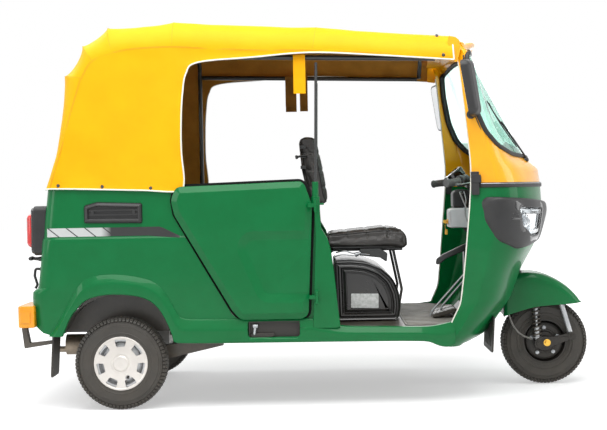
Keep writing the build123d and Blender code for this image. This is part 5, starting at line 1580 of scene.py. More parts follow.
piece("handlebar_grip_rubbers", shape, grip_rubber, "steering", ("handlebar_grips",), smooth=35)
shape = bmesh.new()
for side in (-1, 1):
    path = smooth_line([spot(1600, side * 236, 1004), spot(1622, side * 262, 998),
                        spot(1610, side * 302, 988), spot(1566, side * 346, 980),
                        spot(1534, side * 370, 978)], 5)
    count = len(path)
    pipe(shape, path, [6.5 - 2.2 * math.sin(math.pi * k / (count - 1)) + (2.2 if k > count - 3 else 0)
                       for k in range(count)], 10, squash=0.7)
piece("brake_levers", shape, fork_silver, "steering", smooth=50)

# Instrument pod: a rounded black case tipped towards the driver, with a glossy dial, a ring of
# pale marks and a needle.
lean = Matrix.Rotation(math.radians(-38), 3, "Y")
pod_at = lambda x, y, z: spot(1560, 0, 1036) + lean @ Vector((x / 1000, y / 1000, z / 1000))
POD = [(-44, -78), (44, -66), (44, 66), (-44, 78)]
levels = tiers(POD, 34, ((26, -52), (10, -44), (2, -28), (0, -4), (0, 4), (2, 8), (6, 9), (8, 5)), 7)
piece("instrument_pod", stack(levels, pod_at), gloss_plastic, "steering",
      ("instrument_binnacle",), smooth=35)
dial_paint = surface("dial_card", "#293036", "#323A41", 0.4, coat=0.8, grain=2.0, depth=0.003)
shape = bmesh.new()
levels = tiers(POD, 34, ((8.5, 3), (8.5, 6.2), (10, 6.8)), 7)
piece("dial_card", stack(levels, pod_at), dial_paint, "steering")
marks = bmesh.new()
for k in range(25):
    a = math.radians(-120 + 10 * k)
    c, s = math.cos(a), math.sin(a)
    inner, outer = (22 if k % 3 == 0 else 25), 29
    pipe(marks, [pod_at(c * inner * 0.95, s * inner, 7.2), pod_at(c * outer * 0.95, s * outer, 7.2)], 0.6,
         4)
pipe(marks, [pod_at(0, 0, 8), pod_at(-16, -16, 8)], [1.4, 0.5], 6)
piece("dial_marks", marks, white_piping, "steering")

# ---------------------------------------------------------------------------------------------
# Wheels.  Bias-ply tyres of black rubber, dustier towards the floor, with separate tread blocks.  The
# rear pair sit on silver steel discs under snap-on silver caps with seven windows; the front one
# is a black steel rim bolted to a ribbed brake drum.
tyre_rubber = surface("tyre_rubber", "#292826", "#353432", 0.56, specular=0.5, patch=60, grain=1.6,
                      depth=0.06, dirt=0.12)
cap_silver = surface("silver_cap_paint", "#DCD7D1", "#CEC9C3", 0.4, metal=0.55, coat=0.25, patch=200,
                     grain=1.6, depth=0.008)
rim_silver = surface("silver_rim_paint", "#CACCCF", "#B9BCBE", 0.42, metal=0.5, grain=1.8, depth=0.03,
                     dirt=0.2)


def ring(profile, middle, axis, turns=64, shape=None):
    """A turned ring, from a closed outline of (distance along the axis, radius) pairs."""
    return lathe([*profile, profile[0]], middle, axis, turns, shape, ends=False)


axle_tree, given = group("parts_round_an_axle", (*SHARED_INPUTS, ("Count", "Int"), ("Radius", "Float")))
circle = node(axle_tree, "GeometryNodeMeshCircle", Vertices=given["Count"], Radius=given["Radius"])
outward = node(axle_tree, "GeometryNodeInputPosition")
facing = node(axle_tree, "FunctionNodeAlignRotationToVector", {"axis": "X", "pivot_axis": "Z"},
              Vector=outward.outputs[0])
set_out(axle_tree, given, circle, facing)


def round_axle(name, part, count, radius, middle, side, turned, material, body, slot):
    """Copies of a part round a wheel's axle.  The part's x is outwards and its z along the axle."""
    stand = Matrix.Translation(middle) @ Matrix.Rotation(math.radians(-90 * side), 4, "X")
    stand = stand @ Matrix.Rotation(math.radians(turned), 4, "Z")
    base = bpy.data.meshes.new(name)
    base.from_pydata([(0, 0, 0)], [], [])
    return grow(name, base, axle_tree,
                {"Part": part, "Count": count, "Radius": radius / 1000, "Scatter": 0.0, "Seed": 5},
                material, body, slot, stand)


def block(points, low, high, name, taper=1.2):
    """A tread block: its outline is across the tread, (along the axle, round the tyre), in mm."""
    shape = stack(tiers(points, 0.8, ((-taper, low), (0, high - 0.5), (0.5, high)), 2),
                  lambda z, y, x: Vector((x / 1000, y / 1000, z / 1000)))
    return master(name, shape)


# The carcass, from the inner bead round to the outer one, with a rim guard and fine sidewall rings.
half = [(37, 106), (41, 109), (43, 114), (44, 117), (46.4, 120), (47.4, 124), (46.6, 126), (48.2, 133),
        (50.2, 134.6), (50.6, 137), (49.4, 139), (50.2, 147), (50.8, 156), (50.6, 164), (51.6, 166),
        (51.2, 169), (49.2, 170.6), (48, 176), (46.2, 181), (47, 183), (46, 186), (43.2, 187.4),
        (42.2, 191.5), (40, 195.5), (34, 199), (27.2, 200.6), (26, 198.4), (22.2, 198.4), (21, 201.6),
        (8.6, 202.8), (7.6, 199.4), (4.4, 199.4), (3.4, 202.9)]
carcass = half + [(-h, r) for h, r in half[::-1]]
carcass += [(-34, 108), (0, 110), (34, 108)]
shoulder_block = block([(-10, -6.4), (9, -7.2), (9, 6.6), (-10, 7.4)], -8, 3.4, "shoulder_block")
side_block = block([(-3.6, -6.0), (5.4, -5.2), (5.4, 4.6), (-3.6, 5.8)], -3, 2.6, "side_block", 0.4)
rib_block = block([(-6.2, -7.2), (5.4, -6.2), (6.2, 7.2), (-5.4, 6.2)], -3, 3.6, "rib_block", 0.6)
WHEELS = (("rear_right", 0, -575, -1, "rear_wheel_right"), ("rear_left", 0, 575, 1, "rear_wheel_left"),
          ("front", FRONT_AXLE, 0, -1, "front_wheel"))
for name, x, y, side, body in WHEELS:
    hub = spot(x, y, TYRE_R)
    outward = Vector((0, side, 0))
    piece(f"{name}_tyre_carcass", ring(carcass, hub, outward, 144), tyre_rubber, body,
          (f"{name}_tyre",), smooth=30)
    rows = []
    for edge in (1, -1):
        for part, radius, out_by, turned in ((shoulder_block, 201.5, 37, 0 if edge > 0 else 2.5),
                                             (side_block, 193.5, 47.2, 0 if edge > 0 else 2.5)):
            lean = Matrix.Rotation(math.radians(-16 if part is shoulder_block else -62), 4, "Y")
            copy = bpy.data.objects.new(part.name, part.data.copy())
            copy.data.transform(lean)
            rows.append(round_axle(f"{name}_blocks_{part.name}_{'out' if edge > 0 else 'in'}", copy, 72,
                                   radius, hub + outward * edge * out_by / 1000, side * edge, turned,
                                   tyre_rubber, body, "tyre"))
        rows.append(round_axle(f"{name}_rib_{'out' if edge > 0 else 'in'}", rib_block, 72, 202.2,
                               hub + outward * edge * 15 / 1000, side * edge, 1.2 if edge > 0 else 3.7,
                               tyre_rubber, body, "tyre"))
    # one mesh per wheel
    tread = bmesh.new()
    for made in rows:
        tread.from_mesh(made.data)
        bpy.data.objects.remove(made)
    piece(f"{name}_tread_blocks", tread, tyre_rubber, body, smooth=30)

# Rear discs and their caps.
CAP = [(34, 121), (44, 121.5), (47.5, 120), (48.6, 117), (48.2, 113.5), (46.2, 111.6), (46.0, 110.2),
       (48.4, 74), (49.4, 58), (50.0, 46), (49.6, 43), (47.2, 40), (46.8, 36.5), (47.4, 34.6), (51.0, 32.6),
       (52.4, 29), (53, 20), (53.2, 8)]
for name, x, y, side, body in WHEELS[:2]:
    hub = spot(x, y, TYRE_R)
    outward = Vector((0, side, 0))
    rim = [(-40, 100), (-40, 113), (-37, 115), (-34, 112), (-33, 105), (-20, 100), (-14, 92), (14, 92),
           (20, 100), (33, 105), (34, 112), (37, 115), (40, 113), (40, 100), (34, 99), (22, 94), (16, 88),
           (-16, 88), (-22, 94), (-34, 99)]
    shape = ring(rim, hub, outward, 96)
    disc = [(16, 90), (20, 89), (22, 84), (30, 70), (30, 40), (18, 34), (18, 12), (13, 12), (13, 34),
            (25, 44), (25, 68), (16, 84)]
    ring(disc, hub, outward, 72, shape)
    lathe([(-30, 30), (-28, 34), (12, 34), (14, 26), (34, 26), (36, 22), (42, 20), (43, 14)], hub, outward,
          40, shape)
    piece(f"{name}_rim_and_disc", shape, rim_silver, body, (f"{name}_rim",), smooth=35)
    drum = lathe([(-46, 60), (-44, 84), (-20, 86), (8, 86), (10, 80), (12, 40)], hub, outward, 64)
    piece(f"{name}_brake_drum", drum, forged, body, smooth=35)
    nut = master("nut", lathe([(0, 9), (1, 10), (9, 10), (10, 8.4), (10.2, 5), (15, 5), (15.6, 4)],
                              (0, 0, 0), (0, 0, 1), 6))
    round_axle(f"{name}_wheel_nuts", nut, 4, 52, hub + outward * 0.03, side, 45, bare_steel, body,
               "silver_paint")
    inner = [(h - 2.2, max(r - 1.4, 0)) for h, r in CAP if h > 40][::-1]
    shape = bmesh.new()
    turns = 112
    place = lambda h, r, a: hub + outward * h / 1000 + Vector((math.cos(a) * r, 0, math.sin(a) * r)) / 1000
    rows = [[place(h, r, 2 * math.pi * (k + 0.3) / turns) for k in range(turns)]
            for h, r in CAP + inner + [(34, 119)]]
    front, back = rows[:len(CAP)], rows[len(CAP):]
    ranks = skin(shape, front)
    shape.faces.new(ranks[1])
    ranks = skin(shape, back)
    shape.faces.new(ranks[0])
    shape.normal_update()
    # join the outer edge to the inner one
    skin(shape, [rows[-1], rows[0]])
    cap = piece(f"{name}_wheel_cap", shape, cap_silver, body,
                ("hubcap_right" if side < 0 else "hubcap_left",), smooth=32)
    windows = []
    for k in range(7):
        a = math.pi / 2 + 2 * math.pi * k / 7
        corners = [(75, -19), (75, 19), (107, 27), (107, -27)]
        window = outline(corners, [6, 6, 5, 5], 0, 4)
        shape = straight(window, 30, 62, lambda r, s, h: hub + outward * h / 1000 + Vector(
            (math.cos(a) * r - math.sin(a) * s, 0, math.sin(a) * r + math.cos(a) * s)) / 1000)
        windows.append(shape)
    a = math.radians(-64.3)
    valve_at = hub + Vector((math.cos(a), 0, math.sin(a))) * 0.07
    windows.append(lathe([(30, 11), (62, 11)], valve_at, outward, 24))
    cut(cap, *windows, solver="FAST")
    rounding = cap.modifiers.new("rounding", "BEVEL")
    rounding.width, rounding.segments, rounding.limit_method = 0.0009, 2, "ANGLE"
    rounding.angle_limit = math.radians(50)
    apply_all(cap)
    settle(cap, 40)
    stem = lathe([(16, 6), (20, 5.6), (34, 4), (36, 4), (36.4, 5.2), (45, 5.2), (46, 4)], valve_at, outward,
                 16)
    piece(f"{name}_valve", stem, black_rubber, body, smooth=35)

# Front rim, drum and bolts.
hub = spot(FRONT_AXLE, 0, TYRE_R)
rim = [(-40, 100), (-40, 113), (-37, 115), (-34, 112), (-33, 105), (-20, 100), (-14, 94), (14, 94),
       (20, 100), (33, 105), (34, 112), (37, 115), (40, 113), (40, 100), (34, 99), (22, 95), (16, 90),
       (-16, 90), (-22, 95), (-34, 99)]
shape = ring(rim, hub, (0, -1, 0), 96)
for side in (-1, 1):
    disc = [(20, 92), (24, 91), (34, 78), (35, 60), (37, 58), (37, 54), (33, 52), (30, 56), (29, 76),
            (18, 88)]
    ring(disc, hub, (0, side, 0), 72, shape)
piece("front_rim_and_disc", shape, forged, "front_wheel", ("front_rim",), smooth=35)
profile = [(-56, 16), (-55, 24), (-44, 30), (-42, 70)]
for k in range(7):
    at_h = -40 + k * 10.5
    profile += [(at_h, 82), (at_h + 1, 87), (at_h + 5, 87), (at_h + 6, 82)]
profile += [(34, 78), (36, 50), (44, 46), (46, 30), (55, 26), (56, 16)]
piece("front_brake_drum", lathe(profile, hub, (0, -1, 0), 96), forged, "front_wheel",
      smooth=35)
bolt = master("bolt", lathe([(0, 9), (1, 10), (8, 10), (9, 8.4), (9.2, 5), (14, 5), (14.6, 4)], (0, 0, 0),
                            (0, 0, 1), 6))
for side, word in ((-1, "right"), (1, "left")):
    round_axle(f"front_wheel_bolts_{word}", bolt, 5, 66, hub + Vector((0, side * 0.034, 0)), side, 20,
               bare_steel, "front_wheel", "steel")

# ---------------------------------------------------------------------------------------------
# Seats.  Foam blocks under tight black leathercloth, swollen by a short cloth simulation, held
# flat where they rest on a board, with sewn channels, and a welt and stitches along the edges.
leathercloth = surface("black_leathercloth", "#2D2A28", "#383533", 0.42, specular=0.5, patch=90, grain=1.5,
                       depth=0.16, spread=0.06, sheen=0.1)
welt_vinyl = surface("welt_vinyl", "#181818", "#222222", 0.35, grain=1.2, depth=0.05)
seat_thread = surface("seat_thread", "#5C5C59", "#4B4B4A", 0.7, grain=0.6, depth=0.2)


def cushion(name, shape, voxel, most, body, replaces, rests, channels=()):
    """Swell a block into a cushion.  rests(point) is true where it lies on its board.  Each channel
    is (its distance function, depth, half width), all in metres, sewn in after the swelling."""
    made = bpy.data.objects.new(name, as_mesh(name, shape))
    scene.collection.objects.link(made)
    remesh = made.modifiers.new("remesh", "REMESH")
    remesh.mode, remesh.voxel_size = "VOXEL", voxel
    apply_all(made)
    start = [v.co.copy() for v in made.data.vertices]
    held = made.vertex_groups.new(name="held")
    held.add([i for i, p in enumerate(start) if rests(p)], 1.0, "REPLACE")
    cloth = made.modifiers.new("cloth", "CLOTH")
    settings = cloth.settings
    settings.quality, settings.mass = 3, 0.3
    settings.use_pressure, settings.uniform_pressure_force = True, 4.0
    settings.effector_weights.gravity = 0
    settings.vertex_group_mass = "held"
    cloth.point_cache.frame_start, cloth.point_cache.frame_end = 1, 20
    for moment in range(1, 21):
        scene.frame_set(moment)
    apply_all(made)
    made.vertex_groups.clear()
    for v, p in zip(made.data.vertices, start):
        gone = v.co - p
        if gone.length > most:
            v.co = p + gone.normalized() * most
    normals = [v.normal.copy() for v in made.data.vertices]
    for v, normal in zip(made.data.vertices, normals):
        for away, depth, wide in channels:
            d = away(v.co) / wide
            if d < 3:
                v.co -= normal * depth * math.exp(-d * d)
    finer = made.modifiers.new("finer", "SUBSURF")
    finer.levels = finer.render_levels = 1
    apply_all(made)
    made.data.materials.clear()
    made.data.materials.append(leathercloth)
    made.data.shade_smooth()
    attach(made, body)
    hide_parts(replaces)
    return made


def welt(name, pad, runs, radius, closed=True, body="body", stitches=0.0):
    """Round piping laid on a cushion along some runs of points, with stitches beside it."""
    shape, beside = bmesh.new(), []
    for run in runs:
        laid, stitched = [], []
        for p in run:
            _, near, normal, _ = pad.closest_point_on_mesh(p)
            laid.append(near + normal * radius * 0.0004)
            if stitches:
                _, seam, seam_normal, _ = pad.closest_point_on_mesh(near + Vector((0, 0, -stitches)))
                stitched.append(seam + seam_normal * 0.0003)
        for _ in range(3):
            laid = [laid[i] * 0.5 + (laid[i - 1] + laid[(i + 1) % len(laid)]) * 0.25
                    if closed or 0 < i < len(laid) - 1 else laid[i] for i in range(len(laid))]
        pipe(shape, laid, radius, 8, closed=closed)
        beside.append(stitched + stitched[:1] if closed else stitched)
    piece(name, shape, welt_vinyl, body, smooth=60)
    if stitches:
        grow(name + "_stitches", chain(beside), line_tree,
             {"Part": stitch, "Step": 0.008, "Scatter": 0.15, "Seed": 4}, seat_thread, body, "black_vinyl")


def around(points, radii, place, step=14):
    """Points round an outline, evenly close together."""
    loop = [place(*p) for p in outline(points, radii, 0, 8)]
    found = []
    for a, b in zip(loop, loop[1:] + loop[:1]):
        count = max(1, round((b - a).length * 1000 / step))
        found += [a.lerp(b, k / count) for k in range(count)]
    return found


# Driver's seat: a thick wedge, higher at the front, with a full round nose.
SEAT_SIDE = [(926, 694), (926, 752), (1206, 777), (1300, 767), (1314, 738), (1312, 696), (1292, 682),
             (1236, 688)]
SEAT_RADII = [10, 16, 60, 30, 40, 20, 16, 40]
levels = tiers(SEAT_SIDE, SEAT_RADII, both_ways(((16, 229), (5, 226), (0, 214))), 5)
shape = stack(levels, sideways, rings=(2, 2))
seat_channels = [(lambda p, at=at: abs(p.x - spot(at, 0, 0).x) if p.z > 0.735 else 9, 0.004, 0.006)
                 for at in (1020, 1120, 1220)]
driver_pad = cushion("driver_seat_pad", shape, 0.006, 0.008, "body", "driver_seat",
                     lambda p: p.z < 0.697, seat_channels)
crease = around([(938, -224), (1290, -222), (1290, 222), (938, 224)], [30, 46, 46, 30],
                lambda x, y: spot(x, y, 756 + 18 * min(1, max(0, (x - 930) / 270))))
welt("driver_seat_welt", driver_pad, [crease], 3.0, stitches=0.009)
board = slab(bmesh.new(), [(938, -222), (1288, -218), (1288, 218), (938, 222)], 686, 694, spot, 2, 20)
piece("driver_seat_board", board, black_enamel, "body")

# Driver's backrest: a slim upright pad on a pressed tray, with a release lever behind it.
BACK_SIDE = [(857, 900), (933, 896), (929, 950), (912, 1060), (878, 1220), (836, 1223), (810, 1212),
             (824, 1060), (846, 960)]
levels = tiers(BACK_SIDE, [10, 14, 60, 90, 16, 14, 10, 60, 60], both_ways(((14, 229), (4, 226), (0, 214))),
               5)
shape = stack(levels, sideways, rings=(2, 2))
back_channels = [(lambda p, at=at: abs(p.z - at / 1000) if p.x > spot(870, 0, 0).x
                  - 0.06 * (p.z - 0.9) * 3.3 else 9, 0.004, 0.006) for at in (980, 1060, 1140)]
back_pad = cushion("driver_backrest_pad", shape, 0.006, 0.007, "body", "driver_backrest",
                   lambda p: p.x < spot(838, 0, 0).x - (p.z - 0.96) * 0.2, back_channels)
rim = around([(-224, 914), (224, 914), (222, 1208), (-222, 1208)], [30, 30, 40, 40],
             lambda y, z: spot(922 - (z - 914) * 0.155, y, z))
welt("driver_backrest_welt", back_pad, [rim], 3.0)
shape = bmesh.new()
for side in (-1, 1):
    pipe(shape, bend_path([spot(852, side * 130, 906), spot(846, side * 130, 960),
                           spot(818, side * 130, 1130)], 0.03), 8, 12)
pipe(shape, bend_path([spot(842, -240, 1128), spot(826, -240, 1130), spot(800, -236, 1124)], 0.008), 5.5,
     10)
lathe([(0, 7), (2, 9), (10, 9), (12, 7)], spot(800, -236, 1124), (-1, 0, -0.2), 16, shape)
for z in (1074, 1126, 1170):
    slab(shape, box(812, z - 8, 838, z + 8), -238, -214, sideways, 1.5, 3)
piece("driver_backrest_frame", shape, black_enamel, "body", smooth=40)

# Passengers' bench: one long cushion with sewn cross channels, and a raked back.
BENCH_SIDE = [(-158, 596), (-158, 674), (200, 686), (282, 684), (290, 650), (286, 596)]
levels = tiers(BENCH_SIDE, [10, 24, 90, 30, 30, 10], both_ways(((20, 579), (6, 576), (0, 560))), 5)
shape = stack(levels, sideways, rings=(3, 3))
bench_channels = [(lambda p, at=at: abs(p.y - at) if p.z > 0.66 else 9, 0.005, 0.008)
                  for at in (-0.39, -0.195, 0.0, 0.195, 0.39)]
bench_pad = cushion("passenger_seat_pad", shape, 0.008, 0.008, "body", "passenger_seat",
                    lambda p: p.z < 0.602, bench_channels)
crease = around([(-140, -570), (274, -568), (274, 568), (-140, 570)], [24, 40, 40, 24],
                lambda x, y: spot(x, y, 682))
welt("passenger_seat_welt", bench_pad, [crease], 3.2, stitches=0.009)
REST_SIDE = [(-162, 702), (-92, 704), (-112, 830), (-156, 1138), (-214, 1140), (-186, 860)]
levels = tiers(REST_SIDE, [12, 24, 90, 24, 16, 60], both_ways(((18, 521), (5, 518), (0, 504))), 5)
shape = stack(levels, sideways, rings=(3, 3))
rest_channels = [(lambda p, at=at: abs(p.y - at) if p.x > spot(-135 - (p.z - 0.83) * 150, 0, 0).x else 9,
                  0.005, 0.008) for at in (-0.35, -0.175, 0.0, 0.175, 0.35)]
rest_pad = cushion("passenger_backrest_pad", shape, 0.008, 0.008, "body", "passenger_backrest",
                   lambda p: p.x < spot(-160 - (p.z - 0.7) * 115, 0, 0).x, rest_channels)
rim = around([(-510, 716), (510, 716), (508, 1128), (-508, 1128)], [30, 30, 40, 40],
             lambda y, z: spot(-92 - (z - 716) * 0.155, y, z))
welt("passenger_backrest_welt", rest_pad, [rim], 3.2)

# ---------------------------------------------------------------------------------------------
# Under the driver's seat: a blow-moulded black box with ribs round its curved front and a bare
# metal plate on its side, the seat's tube legs, and the linkage above the box.
moulded = surface("moulded_black_box", "#161617", "#202020", 0.3, coat=0.3, patch=90, grain=2.4, depth=0.03,
                  dirt=0.08)
TANK = [(962, 630), (1040, 631), (1112, 623), (1182, 595), (1234, 548), (1262, 483), (1270, 418),
        (1258, 354), (968, 354)]
TANK_RADII = [14, 200, 160, 120, 120, 160, 200, 30, 20]
# the ribs round its side: inset, and distance from the middle line
TANK_END = ((64, 331), (56, 331), (54, 334), (51, 334), (49, 331), (44, 330), (41, 328), (38, 325),
            (36, 325), (32, 331), (28, 339), (22, 340), (17, 336), (15, 329), (11, 329), (9, 336), (4, 340),
            (1, 338), (0, 332), (0, 120))
shape = stack(tiers(TANK, TANK_RADII, both_ways(TANK_END), 8), sideways)
piece("tank_box_moulding", shape, moulded, "body", ("tank_box",), smooth=32,
      flat_faces=False)
plate = surface("bare_metal_plate", "#CACBCA", "#AEB1AE", 0.42, metal=0.75, patch=14, grain=1.0, depth=0.05,
                spread=0.1)
shape = slab(bmesh.new(), [(1037, 413), (1165, 409), (1166, 477), (1038, 480)], -331, -334.5, sideways, 0.8,
             4)
for x, z in ((1044, 419), (1159, 416), (1159, 470), (1045, 473)):
    lathe([(0, 2.6), (1.6, 2.4), (2.2, 1.4)], spot(x, -334.5, z), (0, -1, 0), 12, shape)
piece("tank_box_blank_plate", shape, plate, "body", smooth=30)

shape = bmesh.new()
for side in (-1, 1):
    y = side * 176
    pipe(shape, bend_path([spot(1224, y, 682), spot(1246, y, 676), spot(1284, y, 486), spot(1262, y, 356)],
                          0.03), 6.5, 12)
    pipe(shape, bend_path([spot(940, y, 470), spot(940, y, 680), spot(1290, y, 680)], 0.03), 9, 12)
for x in (950, 1110, 1270):
    pipe(shape, [spot(x, -176, 681), spot(x, 176, 681)], 8, 12)
slab(shape, [(1082, 652), (1180, 640), (1212, 618), (1216, 660), (1180, 684), (1086, 684)],
     -240, -180, sideways, 2, 5)
piece("driver_seat_tubes", shape, black_enamel, "body", ("driver_seat_rails",), smooth=40)
shape = bmesh.new()
pipe(shape, smooth_line([spot(972, -250, 668), spot(1012, -262, 676), spot(1052, -258, 664),
                         spot(1082, -246, 668)], 5), 3.2, 8)
pipe(shape, smooth_line([spot(966, -270, 650), spot(1004, -276, 660), spot(1050, -274, 654),
                         spot(1084, -262, 660), spot(1130, -252, 656)], 5), 2.4, 8)
lathe([(0, 8), (2, 10), (16, 10), (18, 7), (30, 6)], spot(1060, -262, 655), (0.8, 0, 0.3), 16, shape)
piece("seat_latch_linkage", shape, bare_steel, "body", smooth=50)

# ---------------------------------------------------------------------------------------------
# Driver's footwell.  A ribbed rubber mat, a grey pressed box on the steering column under a black
# shroud, the cables beside it, the hand lever, and the pedals with their rods.
mat_rubber = surface("floor_mat_rubber", "#878784", "#71716F", 0.6, patch=60, grain=2.0, depth=0.08,
                     dirt=0.5)
grey_paint = surface("light_grey_paint", "#E1E3E6", "#D0D2D6", 0.4, patch=120, grain=1.8, depth=0.02)
shape = bmesh.new()
mat = [(1276, -560), (1436, -560), (1560, -430), (1600, -180), (1600, 180), (1560, 430), (1436, 560),
       (1276, 560)]
slab(shape, mat, 350.2, 353.6, spot, 1.0, 20)
for k in range(17):
    y = -520 + k * 65
    reach = min(1584, 1430 + 560 - abs(y))
    slab(shape, box(1284, y - 12, reach, y + 12), 353.2, 355.6, spot, 0.8, 5)
piece("footwell_mat", shape, mat_rubber, "body", smooth=35)
shape = bmesh.new()
SHROUD = [(1548, 868), (1548, 948), (1590, 958), (1640, 950), (1716, 930), (1716, 868)]
slab(shape, SHROUD, -60, 60, sideways, 10, [10, 24, 20, 20, 20, 20])
slab(shape, box(1556, 850, 1600, 872), -34, 34, sideways, 4, 5)
piece("column_shroud", shape, black_plastic, "body", ("column_cover",), smooth=38)
shape = bmesh.new()
slab(shape, [(1530, 770), (1530, 858), (1556, 866), (1628, 866), (1640, 770)], -90, 90, sideways, 8,
     [8, 10, 20, 10, 8])
slab(shape, [(1524, 790), (1524, 846), (1534, 846), (1534, 790)], -70, 20, sideways, 2, 3)
piece("column_box", shape, grey_paint, "body", smooth=38)
shape = bmesh.new()
lathe([(0, 11), (1, 13), (7, 13), (8, 10), (9, 4), (14, 4)], spot(1527, -40, 800), (-1, -0.2, 0), 20, shape)
slab(shape, box(1500, 792, 1518, 808), -42, -40, sideways, 0.5, 4)
pipe(shape, smooth_line([spot(1512, -44, 796), spot(1508, -50, 776), spot(1512, -50, 762)], 4), 1.2, 6)
slab(shape, [(1506, 738), (1520, 736), (1520, 762), (1508, 764)], -56, -53, sideways, 0.8, 3)
piece("ignition_key_and_tag", shape, brass, "body", smooth=35)
shape = bmesh.new()
pipe(shape, bend_path([spot(1590, -96, 936), spot(1572, -128, 946), spot(1604, -140, 862)], 0.012), 3.6, 10)
pipe(shape, smooth_line([spot(1600, -70, 946), spot(1608, -86, 900), spot(1600, -94, 850),
                         spot(1612, -92, 800)], 5), 3.0, 8)
for y, x0, z0, x1, z1 in ((-262, 1424, 392, 1612, 598), (-214, 1474, 408, 1632, 584)):
    pipe(shape, bend_path([spot(x0 - 14, y, z0 - 30), spot(x0, y, z0), spot(x1, y, z1)], 0.03), 5.0, 10)
piece("control_rods", shape, fork_silver, "body", smooth=50)
shape = bmesh.new()
# hand lever for the parking brake, and two treadle pedals on a cross shaft
slab(shape, [(1440, 602), (1446, 632), (1476, 652), (1604, 712), (1604, 676), (1490, 630), (1462, 606)],
     -268, -244, sideways, 6, [8, 10, 40, 10, 10, 40, 8])
slab(shape, [(1586, 660), (1640, 670), (1640, 740), (1600, 726)], -250, -226, sideways, 3, 8)
for y in (-262, -150):
    slab(shape, [(1420, 356), (1520, 380), (1534, 398), (1522, 402), (1424, 374)], y - 44, y + 44, sideways,
         3, 4)
    for k in range(5):
        slab(shape, [(1432 + k * 18, 374 + k * 4.6), (1442 + k * 18, 376.6 + k * 4.6),
                     (1441 + k * 18, 382 + k * 4.6), (1431 + k * 18, 379 + k * 4.6)], y - 38, y + 38,
             sideways, 1, 1)
slab(shape, [(1500, 354), (1600, 354), (1620, 430), (1560, 420)], -320, -100, sideways, 6, 10)
piece("hand_lever_and_pedals", shape, black_enamel, "body", ("foot_and_hand_controls",),
      smooth=38)

# ---------------------------------------------------------------------------------------------
# Underside fittings: rubber flaps behind the wheels, the step box sunk in the right sill with the
# end of its latch lever.
shape = bmesh.new()
for side in (-1, 1):
    for (x0, x1, z0, z1, y0, y1) in ((-300, -296, 150, 336, 470, 628), (1684, 1688, 208, 372, 160, 470)):
        FLAP = [(y0, z1), (y1, z1), (y1 - 4, z0 + 10), (y1 - 14, z0), (y0 + 14, z0), (y0 + 4, z0 + 10)]
        slab(shape, [(side * y, z) for y, z in FLAP], x0 - 3, x1 + 1,
             lambda y, z, x: spot(x - (z1 - z) * 0.06, y, z), 1.2, [2, 2, 4, 8, 8, 4])
        for k in range(5):
            y = side * (y0 + (y1 - y0) * (0.18 + 0.16 * k))
            slab(shape, box(y - 4, z0 + 24, y + 4, z1 - 30), x0 - 6, x0 - 2,
                 lambda y, z, x: spot(x - (z1 - z) * 0.06, y, z), 1.2, 1.5)
piece("ribbed_mudflaps", shape, black_rubber, "body", ("mudflaps",), smooth=40)
shape = slab(bmesh.new(), box(575, 302, 800, 386), -618, -622, sideways, 1, 6)
for x in (577, 798):
    slab(shape, box(x - 2, 302, x + 2, 386), -618, -636, sideways, 0.5, 0.5)
for z in (304, 384):
    slab(shape, box(575, z - 2, 800, z + 2), -618, -636, sideways, 0.5, 0.5)
slab(shape, [(582, 306), (668, 306), (690, 322), (690, 336), (582, 336)], -620, -634, sideways, 5,
     [10, 14, 8, 8, 10])
piece("sill_step_box", shape, black_rubber, "body", smooth=35)
shape = bmesh.new()
pipe(shape, bend_path([spot(600, -575, 300), spot(598, -630, 330), spot(604, -636, 366)], 0.01), 7, 12)
lathe([(-12, 6), (-10, 9), (10, 9), (12, 6)], spot(604, -636, 366), (1, 0, 0), 16, shape)
piece("door_latch_lever_end", shape, bare_steel, "body", smooth=40)

# ---------------------------------------------------------------------------------------------
# Floor and the bars of the body frame.  The floor is one black pressing with long beads, and a
# ribbed rubber mat lies where the passengers' feet go.  Thin black rods stand on the pillars, and
# a green pressing parts the driver from the passengers.
shape = bmesh.new()
PAN = [(278, -588), (1420, -588), (1500, -545), (1570, -480), (1620, -390), (1676, -240), (1684, -60),
       (1684, 60), (1676, 240), (1620, 390), (1570, 480), (1500, 545), (1420, 588), (278, 588)]
slab(shape, PAN, 332, 349.4, spot, 1.5, [3, 40, 60, 60, 60, 60, 20, 20, 60, 60, 60, 60, 40, 3], 3)
for y in (-500, -380, -260, 260, 380, 500):
    slab(shape, box(300, y - 14, 860, y + 14), 349, 351.6, spot, 1, 12)
piece("floor_pressing", shape, black_enamel, "body", ("floor",), smooth=35)
shape = slab(bmesh.new(), box(312, -560, 862, 560), 352, 354.6, spot, 1, 20)
for k in range(27):
    y = -533 + k * 41
    slab(shape, box(322, y - 9, 852, y + 9), 354.4, 356.6, spot, 0.8, 4)
piece("passenger_floor_mat", shape, mat_rubber, "body", smooth=35)
bars("pillar_rods_thin", [[(881, side * 622, 903), (881, side * 620, 940), (886, side * 604, 1150),
                           (894, side * 563, 1536)] for side in (-1, 1)], 6.5, black_enamel, "body",
     ("pillar_rods",))
shape = bmesh.new()
half = 596
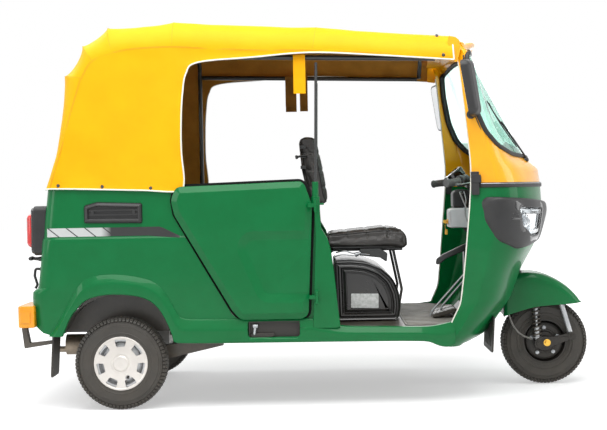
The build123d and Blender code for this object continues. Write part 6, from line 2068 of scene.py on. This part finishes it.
slab(shape, box(-half, 352, half, 898), 874, 878, lengthways, 1, 8)
for y0, y1, z0, z1 in ((-570, -300, 400, 860), (-270, 270, 400, 660), (300, 570, 400, 860),
                       (-270, 270, 690, 860)):
    for inset, x in ((0, 872.5), (14, 870)):
        slab(shape, box(y0 + inset, z0 + inset, y1 - inset, z1 - inset), x, x + 6, lengthways, 1.2,
             24 - inset)
slab(shape, box(-half, 884, half, 900), 870, 888, lengthways, 4, 4)
piece("partition_pressing", shape, green_enamel, "body", ("partition",), smooth=32)
# Hoops of bent tube under the hood: two that shape the back, one behind the pillars, one in front.
HOOPS = ((274, 1000, 1691, 75), (1440, 1548, 1640, 75), (-175, 1001, 1560, 60), (-60, 1001, 1660, 60))
bars("hood_hoop_tubes", [bend_path([(x, -550, foot), (x, -550, top - drop), (x, -460, top), (x, 460, top),
                                    (x, 550, top - drop), (x, 550, foot)], 60, 6)
                         for x, foot, top, drop in HOOPS], 11, black_enamel, "body",
     ("hood_hoops",))

# ---------------------------------------------------------------------------------------------
# Parts kept as the CAD model has them: the frame, the steering head, the rear suspension, the
# bumper's bar, the engine, the exhaust, the hood's rails, the wheel wells and the base of the
# passengers' bench.  They get their finishes by slot.
cast_metal = surface("cast_engine_metal", "#929495", "#787B7C", 0.5, metal=0.8, grain=2.4, depth=0.1,
                     dirt=0.4)
heat_steel = surface("heat_stained_steel", "#998E80", "#746A5E", 0.45, metal=0.8, patch=60, grain=2.0,
                     depth=0.06, dirt=0.3)
FINISHES = {"green_paint": green_enamel, "yellow_paint": yellow_enamel, "black_paint": black_enamel,
            "silver_paint": rim_silver, "black_plastic": black_plastic,
            "gloss_black_plastic": gloss_plastic, "orange_plastic": orange_plastic, "red_lens": red_lens,
            "clear_lens": clear_lens, "clear_glass": glass, "yellow_fabric": canvas,
            "black_vinyl": leathercloth, "tyre": tyre_rubber, "rubber": black_rubber, "steel": heat_steel,
            "engine_metal": cast_metal}
for part in nodes.values():
    for place in part.material_slots:
        place.material = FINISHES[place.material.name.split(".")[0]]
